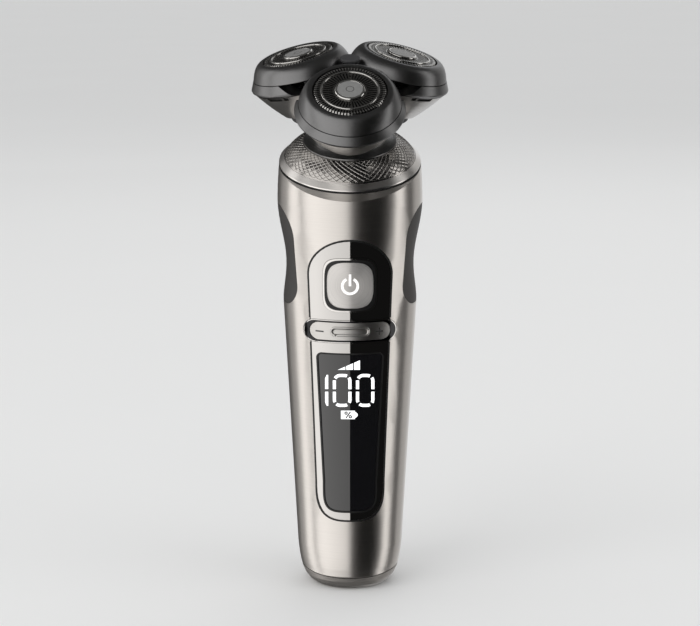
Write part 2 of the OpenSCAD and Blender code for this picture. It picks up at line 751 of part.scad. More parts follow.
module unit_frame() {
  foot = cover_top + fit / 2 + 0.05;
  color([0.28, 0.28, 0.29]) top_frame() difference() {
    union() {
      for (k = [0:2]) around(k) {
        translate([-arm_hw, 3.4, arm_top - 3.2]) cube([2 * arm_hw, arm_len - 3.4, 3.2]);
        translate([-arm_hw + 0.4, 7.6, foot]) cube([2 * arm_hw - 0.8, 2, arm_top - foot - 1]);
      }
      translate([0, 0, arm_top - 3.2]) cylinder(r = 3.8, h = 3.2, $fn = 40);
    }
  }
}

// Sun and planet gears.
module sun_gear() {
  color([0.88, 0.86, 0.8]) top_frame() difference() {
    union() {
      translate([0, 0, floor_h + 0.4]) gear(unit_mod, sun_teeth, 3.6, -90);
      translate([0, 0, floor_h + 0.4]) cylinder(r = 3, h = cover_top - floor_h, $fn = 40);
    }
    translate([0, 0, floor_h - 1]) linear_extrude(height = 5) {
      polygon([for (i = [0:5]) 2.1 * [cos(60 * i), sin(60 * i)]]);
    }
  }
}
module planet(k) {
  color([0.88, 0.86, 0.8]) top_frame() around(k) translate([0, -gear_r, 0]) difference() {
    union() {
      translate([0, 0, floor_h + 0.2]) gear(unit_mod, planet_teeth, 4, 90 + 180 / planet_teeth);
      translate([0, 0, floor_h - 1]) cylinder(r = 1.4, h = 1.4, $fn = 32);
    }
    translate([0, 0, ball_h - 2.3]) cylinder(r = 2.25, h = 10, $fn = 40);
  }
}
module planet_front() { planet(0); }
module planet_right() { planet(1); }
module planet_left() { planet(2); }

// One head: cup, lower shell, holder, slotted cap, retainer, cutter and spindle.
floor_d = 5;
module wedge(gap) {
  apex = gap / sin(60);
  reach = 60;
  linear_extrude(height = 60) polygon([
    [0, -apex], [-reach * sin(60), -apex - reach * cos(60)], [0, -apex - 2 * reach],
    [reach * sin(60), -apex - reach * cos(60)]]);
}
// Room of one head: clear of the frame arms inside, close to its neighbours outside.
module head_room(k) {
  around(k) wedge(arm_hw + 0.45);
  difference() {
    around(k) wedge(2 * move_gap);
    cylinder(r = arm_len + 0.6, h = 60);
  }
}
cup_in = cap_r + 0.7;
cup_top = holder_r + 0.15;
cup_edge = cup_r - 0.8;
cup_low = cup_edge - 2.9;
module cup(k) {
  lug_h = pin_h + 4.2;
  color([0.3, 0.3, 0.31]) top_frame() difference() {
    union() {
      intersection() {
        difference() {
          head_room(k);
          cylinder(r = 4.7, h = 60);
        }
        head_frame(k) difference() {
          rotate_extrude($fn = 72) polygon(concat(
            [[2.6, -floor_d - 1], [cup_low, -floor_d - 1], [cup_edge, -cup_h], [cup_r - 0.1, -cup_h + 0.6]],
            curve([cup_r, -cup_h + 1.1], [cup_r - 0.1, -0.9], [cup_top, 0], 5),
            [[cup_in, 0], [cup_in, -floor_d], [2.6, -floor_d]]));
          translate([0, 1, 0]) rotate([-36, 0, 0]) translate([-40, 0, 0]) cube([80, 60, 40]);
        }
      }
      intersection() {
        around(k) translate([-2.4, -pin_dist - 1.5, pin_h - 1.5]) cube([4.8, 3, 7]);
        head_frame(k) translate([-10, -20, -floor_d - 21]) cube([20, 40, 20.5]);
      }
    }
    around(k) translate([-6, -pin_dist, pin_h]) rotate([0, 90, 0]) {
      cylinder(r = pin_r + run, h = 12, $fn = 32);
    }
  }
}
module cup_front() { cup(0); }
module cup_right() { cup(1); }
module cup_left() { cup(2); }

shell_drop = 12.6;
shell_in = cup_edge - 6.9;
shell_room = 1.3;
outlet_h = cup_h + 1.3;
module sector(from, to) {
  polygon([[0, 0], 40 * [sin(from), -cos(from)], 40 * [sin(to), -cos(to)]]);
}
module lower_shell(k) {
  low_z = -floor_d - 1 - fit;
  outer = curve([cup_edge, -cup_h - 0.15], [cup_edge - 3.3, -8.7], [shell_in, -shell_drop], 6);
  inner = curve([shell_in - 0.6, -shell_drop + 0.7], [cup_edge - 3.9, -8.4], [cup_low - 0.9, low_z], 6);
  outlets = [[74, 94], [96.5, 102]];
  color([0.82, 0.82, 0.82]) top_frame() difference() {
    intersection() {
      head_frame(k) rotate_extrude($fn = 72) polygon(concat(outer, inner, [[cup_low, low_z]]));
      head_room(k);
    }
    cylinder(r = pin_dist + 3.6, h = 60);
    translate([0, 0, house_h - 3]) linear_extrude(height = cover_top - house_h + 4.6) {
      clover(pocket_gap + house_wall + shell_room);
    }
    head_frame(k) for (a = outlets) {
      translate([0, 0, -outlet_h]) linear_extrude(height = outlet_h) sector(a[0], a[1]);
      translate([0, 0, -outlet_h]) linear_extrude(height = outlet_h) sector(-a[1], -a[0]);
    }
  }
}
module lower_shell_front() { lower_shell(0); }
module lower_shell_right() { lower_shell(1); }
module lower_shell_left() { lower_shell(2); }

holder_in = cap_r + 0.25;
flange_r = holder_in + 1.2;
module holder(k) {
  dome = curve([holder_r, fit + 0.15], [holder_r + 0.2, holder_h - 0.1], [holder_in + 0.4, holder_h], 8);
  color([0.27, 0.27, 0.28]) top_frame() intersection() {
    head_frame(k) rotate_extrude($fn = 72) polygon(concat(
      [[flange_r + 0.15, fit], [holder_r - 0.1, fit]], dome,
      [[holder_in, holder_h], [holder_in, 2.5], [flange_r + 0.15, 2.5]]));
    around(k) wedge(move_gap + 0.05);
  }
}
module holder_front() { holder(0); }
module holder_right() { holder(1); }
module holder_left() { holder(2); }

ring_r = 0.775 * cap_r;
boss_r = 0.4 * cap_r;
cap_z = holder_h - 0.05;
slot_w = 0.4;
module cap(k) {
  color([0.5, 0.49, 0.47]) top_frame() head_frame(k) difference() {
    rotate_extrude($fn = 72) polygon([
      [flange_r, 1.8], [flange_r, 2.42], [cap_r, 2.42], [cap_r, cap_z - 0.4], [cap_r - 0.3, cap_z],
      [ring_r + 0.25, cap_z + 0.1], [ring_r + 0.2, cap_z + 0.35], [ring_r - 0.2, cap_z + 0.35],
      [ring_r - 0.25, cap_z + 0.1], [boss_r + 0.3, cap_z], [boss_r, cap_z + 0.4],
      [boss_r - 0.3, cap_z + 0.55],
      [0, cap_z + 0.65], [0, cap_z - 0.7], [cap_r - 0.9, cap_z - 0.7], [cap_r - 0.9, 1.8]]);
    for (i = [0:outer_slots - 1]) rotate([0, 0, i * 360 / outer_slots]) {
      translate([ring_r + 0.55, -slot_w / 2, cap_z - 1]) cube([5, slot_w, 3]);
    }
    for (i = [0:inner_slots - 1]) rotate([0, 0, i * 360 / inner_slots]) {
      translate([boss_r + 0.75, -slot_w / 2, cap_z - 1]) cube([ring_r - boss_r - 1.3, slot_w, 3]);
    }
  }
}
module cap_front() { cap(0); }
module cap_right() { cap(1); }
module cap_left() { cap(2); }

hub_r = 2.6;
module retainer(k) {
  color([0.7, 0.7, 0.72]) top_frame() head_frame(k) difference() {
    union() {
      difference() {
        translate([0, 0, 0.25]) cylinder(r = flange_r, h = 1.4, $fn = 72);
        cylinder(r = flange_r - 1.8, h = 5, $fn = 72);
      }
      translate([0, 0, 0.25]) cylinder(r = hub_r + 1.6, h = 0.7, $fn = 40);
      for (i = [0:2]) rotate([0, 0, 120 * i]) {
        translate([hub_r + 1, -0.8, 0.25]) cube([flange_r - hub_r - 2, 1.6, 0.7]);
      }
    }
    translate([0, 0, -1]) cylinder(r = hub_r + 0.4, h = 5, $fn = 40);
  }
}
module retainer_front() { retainer(0); }
module retainer_right() { retainer(1); }
module retainer_left() { retainer(2); }

cutter_r = cap_r - 1.2;
stem_r = 1.15;
module cutter(k) {
  color([0.8, 0.78, 0.74]) top_frame() head_frame(k) difference() {
    union() {
      translate([0, 0, 1.95]) cylinder(r = cutter_r, h = 0.5, $fn = 48);
      translate([0, 0, -1.6]) cylinder(r = hub_r, h = 4, $fn = 40);
      for (i = [0:blades - 1]) rotate([0, 0, i * 360 / blades]) {
        translate([boss_r + 0.6, -0.3, 2.3]) cube([cutter_r - boss_r - 0.9, 0.6, cap_z - 1 - 2.3]);
      }
    }
    translate([0, 0, -3]) cylinder(r = stem_r + 0.03, h = 4.4, $fn = 32);
    for (i = [0:5]) rotate([0, 0, 60 * i + 15]) {
      translate([(hub_r + cutter_r) / 2 - 0.4, 0, 1]) cylinder(r = 1.6, h = 3, $fn = 24);
    }
  }
}
module cutter_front() { cutter(0); }
module cutter_right() { cutter(1); }
module cutter_left() { cutter(2); }

stem_low = (ball_h - head_seam_h) / cos(head_lean);
module spindle(k) {
  color([0.85, 0.85, 0.83]) top_frame() head_frame(k) {
    translate([0, 0, stem_low]) cylinder(r = stem_r, h = 1.35 - stem_low, $fn = 32);
    translate([0, 0, stem_low]) sphere(r = 1.6, $fn = 32);
    translate([0, 0, -4.2]) cylinder(r = 1.9, h = 1.2, $fn = 32);
  }
}
module spindle_front() { spindle(0); }
module spindle_right() { spindle(1); }
module spindle_left() { spindle(2); }

sleeve();
rear_grip();
base_cap();
base_seal();
charging_coil();
fascia();
button_bezel();
rocker_bezel();
display_lens();
display_module();
circuit_board();
tact_switches();
chassis();
battery_cell();
battery_contacts();
motor_can();
gear_plate();
gear_plate_screws();
top_plate();
neck_bearing();
shoulder_ring();
knurled_collar();
neck_ring();
shaft_seal();
power_button();
speed_rocker();
motor_pinion();
drive_shaft();
drive_gear();
unit_base();
gear_cover();
unit_frame();
hinge_pins();
sun_gear();
planet_front();
planet_right();
planet_left();
cup_front();
cup_right();
cup_left();
lower_shell_front();
lower_shell_right();
lower_shell_left();
holder_front();
holder_right();
holder_left();
cap_front();
cap_right();
cap_left();
retainer_front();
retainer_right();
retainer_left();
cutter_front();
cutter_right();
cutter_left();
spindle_front();
spindle_right();
spindle_left();
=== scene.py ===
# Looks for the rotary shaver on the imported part: camera, materials, signs, trims, knurl, heads and studio
import collections
import functools
import math

import bmesh
import bpy
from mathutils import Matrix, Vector


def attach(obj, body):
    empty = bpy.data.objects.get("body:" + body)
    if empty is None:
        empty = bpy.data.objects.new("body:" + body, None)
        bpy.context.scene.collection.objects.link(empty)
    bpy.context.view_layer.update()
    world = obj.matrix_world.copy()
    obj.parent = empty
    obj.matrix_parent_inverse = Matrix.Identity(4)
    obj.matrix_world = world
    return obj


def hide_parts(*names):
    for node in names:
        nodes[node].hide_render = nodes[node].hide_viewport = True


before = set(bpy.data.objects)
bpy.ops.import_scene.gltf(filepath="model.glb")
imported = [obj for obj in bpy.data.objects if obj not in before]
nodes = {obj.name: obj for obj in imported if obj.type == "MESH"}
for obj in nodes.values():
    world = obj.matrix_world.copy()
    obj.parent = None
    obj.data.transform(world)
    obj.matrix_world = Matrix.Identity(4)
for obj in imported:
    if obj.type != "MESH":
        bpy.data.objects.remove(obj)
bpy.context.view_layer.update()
scene = bpy.context.scene
scene.view_settings.view_transform = "Standard"

# Camera: place in metres, pitch in degrees, focal length in pixels of a picture that is PHOTO_WIDTH wide
CAM_PLACE, CAM_PITCH = (0.0, -0.600, 0.191), 80.0
PHOTO_WIDTH, FOCAL_PX, SENSOR = 700.0, 1965.0, 36.0
CLIP_NEAR, CLIP_FAR = 0.01, 100.0
cam_data = bpy.data.cameras.new("camera")
cam_data.sensor_width = SENSOR
cam_data.lens = FOCAL_PX / PHOTO_WIDTH * SENSOR
cam_data.clip_start = CLIP_NEAR
cam_data.clip_end = CLIP_FAR
cam = bpy.data.objects.new("camera", cam_data)
cam.location = CAM_PLACE
cam.rotation_euler = (math.radians(CAM_PITCH), 0.0, 0.0)
scene.collection.objects.link(cam)
scene.camera = cam

# Sizes of the solids, in millimetres, as the part has them: height of the handle, tilt of its top, lean and
# place of the heads, radius and height of a cap, heights of button and rocker
MM = 0.001
HANDLE_H = 132.2
TILT, LEAN = math.radians(20.0), math.radians(16.0)
HEAD_R, HEAD_H = 16.8, 26.9
CAP_R, CAP_Z = 10.8, 4.75
POWER_Z, ROCKER_Z = 97.2, 83.0
HEADS = (("front", 0), ("right", 1), ("left", 2))

# Handle radius: flat foot, its rounding, the curve above it, the long taper, the widest place and the top
FLAT_R, ROUND_WIDE, ROUND_HIGH = 10.0, 5.694, 9.5
ROUND_Z, ROUND_R = 7.041, 15.5
TAPER_Z, TAPER_R, SWELL_POWER = 15.0, 16.42, 1.7
WIDE_Z, WIDE_R, TOP_R = 120.2, 22.25, 21.7


def mix(a, b, u):
    return a + (b - a) * u


def bend(a, b, c, u):
    return a * (1 - u) ** 2 + 2 * b * u * (1 - u) + c * u * u


def turn(u, v, a):
    return u * math.cos(a) - v * math.sin(a), u * math.sin(a) + v * math.cos(a)


def body_r(z):
    if z <= ROUND_Z:
        return FLAT_R + ROUND_WIDE * math.sqrt(max(0.0, 1.0 - (1.0 - z / ROUND_HIGH) ** 2))
    if z < TAPER_Z:
        return mix(ROUND_R, TAPER_R, 1.0 - (1.0 - (z - ROUND_Z) / (TAPER_Z - ROUND_Z)) ** SWELL_POWER)
    if z < WIDE_Z:
        return mix(TAPER_R, WIDE_R, (z - TAPER_Z) / (WIDE_Z - TAPER_Z))
    if z < HANDLE_H:
        return mix(WIDE_R, TOP_R, ((z - WIDE_Z) / (HANDLE_H - WIDE_Z)) ** 2)
    return TOP_R


# Places: on the front of the handle, in the tilted top, and in head k of the unit and back
def on_front(x, z, off):
    r = body_r(z) + off
    return (x, -math.sqrt(r * r - x * x), z)


def top_point(p):
    y, z = turn(p[1], p[2], TILT)
    return (p[0], y, HANDLE_H + z)


def head_turn(k):
    return 2 * math.pi / len(HEADS) * k


def head_point(p, k):
    y, z = turn(p[1], p[2], LEAN)
    x, y = turn(p[0], y - HEAD_R, head_turn(k))
    return top_point((x, y, z + HEAD_H))


def head_local(p, k):
    y, z = turn(p[1], p[2] - HANDLE_H, -TILT)
    x, y = turn(p[0], y, -head_turn(k))
    return (x, *turn(y + HEAD_R, z - HEAD_H, -LEAN))


# Material building blocks
NOISE_LOW, NOISE_HIGH, NOISE_ROUGH, NOISE_DETAIL = 0.25, 0.75, 0.6, 6.0
SOFT_DETAIL = 2.0
BRUSH_TURN = 0.25


def shader_of(mat):
    return mat.node_tree.nodes["Principled BSDF"]


def new_material(name, colour, metallic, rough):
    mat = bpy.data.materials.new(name)
    mat.use_nodes = True
    shader = shader_of(mat)
    shader.inputs["Base Color"].default_value = (*colour, 1.0)
    shader.inputs["Metallic"].default_value = metallic
    shader.inputs["Roughness"].default_value = rough
    return mat


def grain(mat, across, along, detail=NOISE_DETAIL):
    add, link = mat.node_tree.nodes.new, mat.node_tree.links.new
    place = add("ShaderNodeTexCoord")
    scale = add("ShaderNodeMapping")
    scale.inputs["Scale"].default_value = (across, across, along)
    noise = add("ShaderNodeTexNoise")
    noise.inputs["Scale"].default_value = 1.0
    noise.inputs["Detail"].default_value = detail
    noise.inputs["Roughness"].default_value = NOISE_ROUGH
    link(place.outputs["Object"], scale.inputs["Vector"])
    link(scale.outputs["Vector"], noise.inputs["Vector"])
    return noise.outputs["Fac"]


def spread(mat, value, low, high):
    add, link = mat.node_tree.nodes.new, mat.node_tree.links.new
    span = add("ShaderNodeMapRange")
    span.inputs["From Min"].default_value = NOISE_LOW
    span.inputs["From Max"].default_value = NOISE_HIGH
    span.inputs["To Min"].default_value = low
    span.inputs["To Max"].default_value = high
    link(value, span.inputs["Value"])
    return span.outputs["Result"]


def tint(mat, value, colour, amount):
    add, link, shader = mat.node_tree.nodes.new, mat.node_tree.links.new, shader_of(mat)
    blend = add("ShaderNodeMix")
    blend.data_type = "RGBA"
    blend.inputs["A"].default_value = (*[max(0.0, v * (1.0 - amount)) for v in colour], 1.0)
    blend.inputs["B"].default_value = (*[min(1.0, v * (1.0 + amount)) for v in colour], 1.0)
    link(spread(mat, value, 0.0, 1.0), blend.inputs["Factor"])
    link(blend.outputs["Result"], shader.inputs["Base Color"])


def relief(mat, value, strength, distance):
    add, link, shader = mat.node_tree.nodes.new, mat.node_tree.links.new, shader_of(mat)
    bump = add("ShaderNodeBump")
    bump.inputs["Strength"].default_value = strength
    bump.inputs["Distance"].default_value = distance
    link(value, bump.inputs["Height"])
    link(bump.outputs["Normal"], shader.inputs["Normal"])


def finish(name, colour, metallic, rough, across, along, vary, rough_vary, bump, deep):
    mat = new_material(name, colour, metallic, rough)
    noise = grain(mat, across, along)
    tint(mat, noise, colour, vary)
    rough_value = spread(mat, noise, rough - rough_vary, rough + rough_vary)
    mat.node_tree.links.new(rough_value, shader_of(mat).inputs["Roughness"])
    relief(mat, noise, bump, deep)
    return mat


def brushed(mat, amount, axis):
    add, link, shader = mat.node_tree.nodes.new, mat.node_tree.links.new, shader_of(mat)
    tangent = add("ShaderNodeTangent")
    tangent.direction_type = "RADIAL"
    tangent.axis = axis
    shader.inputs["Anisotropic"].default_value = amount
    shader.inputs["Anisotropic Rotation"].default_value = BRUSH_TURN
    link(tangent.outputs["Tangent"], shader.inputs["Tangent"])


# Finishes: colour, metallic, roughness, grain across and along, spread of colour and of roughness,
# strength and depth of the bump
FINISHES = (
    ("sleeve_metal", (0.78, 0.745, 0.71), 1.0, 0.33, 60, 4200, 0.04, 0.03, 0.05, 6e-6),
    ("foot_metal", (0.48, 0.455, 0.43), 0.85, 0.40, 120, 3000, 0.06, 0.05, 0.10, 1e-5),
    ("soft_grip", (0.045, 0.042, 0.040), 0.0, 0.52, 5200, 5200, 0.12, 0.06, 0.35, 4e-5),
    ("mirror_panel", (0.66, 0.645, 0.63), 1.0, 0.035, 220, 220, 0.01, 0.01, 0.02, 1e-6),
    ("dark_glass", (0.006, 0.006, 0.007), 0.0, 0.02, 150, 150, 0.05, 0.005, 0.01, 1e-6),
    ("black_chrome", (0.045, 0.045, 0.047), 1.0, 0.10, 220, 220, 0.03, 0.02, 0.02, 2e-6),
    ("chrome", (0.82, 0.80, 0.78), 1.0, 0.11, 200, 200, 0.02, 0.02, 0.02, 2e-6),
    ("ring_satin", (0.90, 0.875, 0.85), 1.0, 0.30, 40, 300, 0.02, 0.01, 0.01, 1e-7),
    ("shell_satin", (0.56, 0.548, 0.535), 1.0, 0.30, 200, 900, 0.04, 0.04, 0.05, 6e-6),
    ("knurl_metal", (0.52, 0.50, 0.48), 1.0, 0.19, 700, 700, 0.02, 0.02, 0.02, 2e-6),
    ("cup_satin", (0.235, 0.235, 0.238), 1.0, 0.35, 1500, 1500, 0.05, 0.04, 0.08, 8e-6),
    ("neck_satin", (0.30, 0.298, 0.296), 1.0, 0.34, 1200, 1200, 0.05, 0.04, 0.08, 8e-6),
    ("frame_plastic", (0.06, 0.06, 0.062), 0.3, 0.40, 1600, 1600, 0.08, 0.06, 0.15, 1e-5),
    ("cap_steel", (0.30, 0.295, 0.285), 1.0, 0.27, 900, 900, 0.08, 0.06, 0.08, 6e-6),
    ("ring_steel", (0.80, 0.79, 0.77), 1.0, 0.16, 600, 600, 0.03, 0.03, 0.03, 3e-6),
    ("boss_steel", (0.30, 0.298, 0.292), 0.35, 0.48, 1100, 1100, 0.06, 0.05, 0.15, 8e-6),
    ("rocker_metal", (0.70, 0.685, 0.665), 1.0, 0.40, 120, 3600, 0.05, 0.04, 0.08, 8e-6),
    ("black_plastic", (0.025, 0.025, 0.027), 0.0, 0.42, 1400, 1400, 0.10, 0.06, 0.15, 1e-5),
    ("steel", (0.55, 0.55, 0.56), 1.0, 0.26, 400, 3000, 0.05, 0.05, 0.08, 8e-6),
    ("brass", (0.74, 0.56, 0.26), 1.0, 0.26, 500, 2500, 0.05, 0.05, 0.08, 8e-6),
    ("copper_wire", (0.72, 0.38, 0.20), 1.0, 0.30, 300, 5200, 0.10, 0.05, 0.30, 3e-5),
    ("white_plastic", (0.80, 0.785, 0.745), 0.0, 0.38, 900, 900, 0.03, 0.05, 0.10, 1e-5),
    # Near-black finish for strips laid in seams and gaps: painted shade
    ("dark_gap", (0.006, 0.006, 0.006), 0.0, 0.45, 1800, 1800, 0.10, 0.05, 0.10, 5e-6),
    ("black_rubber", (0.018, 0.018, 0.018), 0.0, 0.6, 1800, 1800, 0.15, 0.06, 0.20, 2e-5),
    ("board_green", (0.025, 0.16, 0.065), 0.0, 0.30, 500, 500, 0.12, 0.06, 0.15, 1e-5),
    ("cell_wrap", (0.08, 0.24, 0.44), 0.2, 0.30, 120, 120, 0.05, 0.05, 0.05, 1e-5),
    ("sign_dark", (0.035, 0.034, 0.033), 0.0, 0.45, 2500, 2500, 0.10, 0.05, 0.10, 5e-6),
)
BRUSHED = (("sleeve_metal", 0.5), ("ring_satin", 0.4), ("rocker_metal", 0.4))
LENS_IOR = 1.9
mats = {row[0]: finish(*row) for row in FINISHES}
for name, amount in BRUSHED:
    brushed(mats[name], amount, "Z")
shader_of(mats["dark_glass"]).inputs["IOR"].default_value = LENS_IOR

# Signs that glow: name, colour, power
LIT = (("display_glow", (0.93, 0.94, 0.95), 0.75), ("icon_glow", (0.93, 0.92, 0.90), 0.55))
LIT_ROUGH, LIT_GRAIN, LIT_VARY = 0.4, 900, 0.03


def lit(name, colour, power):
    mat = new_material(name, colour, 0.0, LIT_ROUGH)
    tint(mat, grain(mat, LIT_GRAIN, LIT_GRAIN, SOFT_DETAIL), colour, LIT_VARY)
    shader = shader_of(mat)
    shader.inputs["Emission Color"].default_value = (*colour, 1.0)
    shader.inputs["Emission Strength"].default_value = power
    return mat


for row in LIT:
    mats[row[0]] = lit(*row)

# The button is spun: fine circles about its middle
BUTTON_COLOUR, BUTTON_METALLIC = (0.80, 0.775, 0.75), 0.8
BUTTON_ROUGH, BUTTON_ROUGH_VARY, BUTTON_VARY = 0.38, 0.04, 0.07
CIRCLE_SCALE, CIRCLE_DETAIL, CIRCLE_BUMP, CIRCLE_DEEP, CIRCLE_BRUSH = 3800.0, 3.0, 0.12, 1e-5, 0.8


def spun_material():
    mat = new_material("button_metal", BUTTON_COLOUR, BUTTON_METALLIC, BUTTON_ROUGH)
    add, link, shader = mat.node_tree.nodes.new, mat.node_tree.links.new, shader_of(mat)
    place = add("ShaderNodeTexCoord")
    middle = add("ShaderNodeMapping")
    middle.inputs["Location"].default_value = (0.0, 0.0, -POWER_Z * MM)
    flat = add("ShaderNodeVectorMath")
    flat.operation = "MULTIPLY"
    flat.inputs[1].default_value = (1.0, 0.0, 1.0)
    size = add("ShaderNodeVectorMath")
    size.operation = "LENGTH"
    noise = add("ShaderNodeTexNoise")
    noise.noise_dimensions = "1D"
    noise.inputs["Scale"].default_value = CIRCLE_SCALE
    noise.inputs["Detail"].default_value = CIRCLE_DETAIL
    link(place.outputs["Object"], middle.inputs["Vector"])
    link(middle.outputs["Vector"], flat.inputs[0])
    link(flat.outputs["Vector"], size.inputs[0])
    link(size.outputs["Value"], noise.inputs["W"])
    circles = noise.outputs["Fac"]
    tint(mat, circles, BUTTON_COLOUR, BUTTON_VARY)
    low, high = BUTTON_ROUGH - BUTTON_ROUGH_VARY, BUTTON_ROUGH + BUTTON_ROUGH_VARY
    link(spread(mat, circles, low, high), shader.inputs["Roughness"])
    relief(mat, circles, CIRCLE_BUMP, CIRCLE_DEEP)
    brushed(mat, CIRCLE_BRUSH, "Y")
    return mat


mats["button_metal"] = spun_material()

# What each solid wears
LOOKS = {
    "sleeve": "sleeve_metal", "rear_grip": "soft_grip", "base_cap": "foot_metal", "base_seal": "black_rubber",
    "charging_coil": "copper_wire", "fascia": "mirror_panel", "button_bezel": "chrome",
    "rocker_bezel": "black_chrome", "display_lens": "dark_glass", "display_module": "black_plastic",
    "circuit_board": "board_green", "tact_switches": "black_plastic", "chassis": "black_plastic",
    "battery_cell": "cell_wrap", "battery_contacts": "brass", "motor_can": "steel", "gear_plate": "steel",
    "gear_plate_screws": "steel", "top_plate": "black_plastic", "neck_bearing": "brass",
    "shoulder_ring": "ring_satin", "knurled_collar": "knurl_metal", "neck_ring": "neck_satin",
    "shaft_seal": "black_rubber", "power_button": "button_metal", "speed_rocker": "rocker_metal",
    "motor_pinion": "brass", "drive_shaft": "steel", "drive_gear": "white_plastic",
    "unit_base": "frame_plastic", "gear_cover": "black_plastic", "unit_frame": "frame_plastic",
    "hinge_pins": "steel", "sun_gear": "white_plastic",
}
HEAD_LOOKS = {
    "planet": "white_plastic", "cup": "cup_satin", "lower_shell": "shell_satin", "holder": "cup_satin",
    "cap": "cap_steel", "retainer": "white_plastic", "cutter": "cap_steel", "spindle": "steel",
}
for side, _ in HEADS:
    for stem, look in HEAD_LOOKS.items():
        LOOKS[stem + "_" + side] = look
for name, obj in nodes.items():
    obj.data.materials.clear()
    obj.data.materials.append(mats[LOOKS[name]])


# Mesh building, in millimetres; edges above these angles stay sharp on smooth pieces
KNURL_SHARP, PLAIN_SHARP = math.radians(50.0), math.radians(32.0)


def make_piece(name, verts, faces, look, body, slot, smooth=False):
    mesh = bpy.data.meshes.new(name)
    mesh.from_pydata([[c * MM for c in v] for v in verts], [], faces)
    mesh.validate()
    mesh.update()
    if smooth:
        mesh.shade_smooth()
    mesh.materials.append(mats[look])
    obj = bpy.data.objects.new(name, mesh)
    scene.collection.objects.link(obj)
    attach(obj, body)
    return obj


# Faces of a grid of points that closes on itself both ways
def closed_faces(rows, columns):
    faces = []
    for row in range(rows):
        after = (row + 1) % rows
        for column in range(columns):
            beside = (column + 1) % columns
            faces.append((row * columns + column, after * columns + column,
                          after * columns + beside, row * columns + beside))
    return faces


# A closed outline of radius and height, which may change with the angle, taken round an axis
def turned(outline_at, around, place):
    verts = []
    for j in range(around):
        a = 2 * math.pi * j / around
        outline = outline_at(a)
        verts += [place((r * math.cos(a), r * math.sin(a), z)) for r, z in outline]
    return verts, closed_faces(around, len(outline))


# Flat strips of point pairs (x, z), laid on a curved surface between two offsets from it
def plate(name, strips, place, top, low, look, body, slot):
    verts, faces = [], []
    for strip in strips:
        base = len(verts)
        for a, b in strip:
            verts += [place(*a, top), place(*b, top), place(*a, low), place(*b, low)]
        last = base + 4 * (len(strip) - 1)
        for p in range(base, last, 4):
            q = p + 4
            faces.append((p, q, q + 1, p + 1))
            faces.append((p + 2, p + 3, q + 3, q + 2))
            faces.append((p, p + 2, q + 2, q))
            faces.append((p + 1, q + 1, q + 3, p + 3))
        if strip[0] != strip[-1]:
            faces.append((base, base + 1, base + 3, base + 2))
            faces.append((last, last + 2, last + 3, last + 1))
    make_piece(name, verts, faces, look, body, slot)


# A node's own mesh with its points moved, in the node's place
def reshaped(name, node, move, look, body, slot):
    source = nodes[node]
    verts = [move([c / MM for c in source.matrix_world @ v.co]) for v in source.data.vertices]
    faces = [tuple(f.vertices) for f in source.data.polygons]
    piece = make_piece(name, verts, faces, look, body, slot, True)
    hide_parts(node)
    return piece


def stroke(points, half):
    out = []
    for i, p in enumerate(points):
        a = points[max(0, i - 1)]
        b = points[min(len(points) - 1, i + 1)]
        dx, dz = b[0] - a[0], b[1] - a[1]
        d = math.hypot(dx, dz)
        nx, nz = -dz / d * half, dx / d * half
        out.append(((p[0] + nx, p[1] + nz), (p[0] - nx, p[1] - nz)))
    return out


def steps(a, b, n):
    return [mix(a, b, i / n) for i in range(n + 1)]


def line(a, b, n):
    return list(zip(steps(a[0], b[0], n), steps(a[1], b[1], n)))


def arc(cx, cz, r, a0, a1, n):
    turns = [math.radians(a) for a in steps(a0, a1, n)]
    return [(cx + r * math.cos(t), cz + r * math.sin(t)) for t in turns]


# Display signs under the glass: they lie a little deep and sink towards the sides
SIGN_TOP, SIGN_LOW = 0.045, -0.02
SIGN_DEEP, SIGN_DROP, SIGN_HALF = 0.1, 0.33, 7.7
DIGIT_LOW, DIGIT_TOP = 59.65, 69.95
DIGIT_HALF, DIGIT_CURVE, DIGIT_GAP, DIGIT_JOIN = 0.47, 1.75, 0.40, 0.1
ONE_SPAN, ZERO_SPANS = (-7.55, -6.6), ((-5.2, 0.45), (1.8, 7.4))
ONE_GAP, ONE_END, ONE_CUT, ONE_STRAIGHT, ONE_STEPS = 0.42, 0.3, 0.495, 6, 8
BAR_SPANS = ((-3.6, -1.42), (-1.1, 0.92), (1.24, 3.0))
BAR_LEFT, BAR_RIGHT = BAR_SPANS[0][0], BAR_SPANS[-1][1]
BAR_Z, BAR_RISE, BAR_LEAST, BAR_STEPS = 71.25, 2.95, 0.06, 4
CELL_LEFT, CELL_RIGHT, CELL_LOW, CELL_TOP, CELL_STEPS = -2.75, 1.5, 55.8, 58.45, 10
CELL_TIP = ((CELL_RIGHT, 56.15, 58.1), (2.05, 56.5, 57.75), (2.3, 56.8, 57.45))
SLASH, SLASH_HALF, SLASH_STEPS = ((-1.25, 56.1), (0.15, 58.15)), 0.19, 6
DOTS, DOT_R, DOT_HALF, DOT_STEPS = ((-1.2, 57.7), (0.1, 56.55)), 0.36, 0.18, 16
PERCENT_TOP, PERCENT_LOW = 0.06, 0.03


def on_lens(x, z, off):
    return on_front(x, z - SIGN_DROP * (x / SIGN_HALF) ** 2, off - SIGN_DEEP)


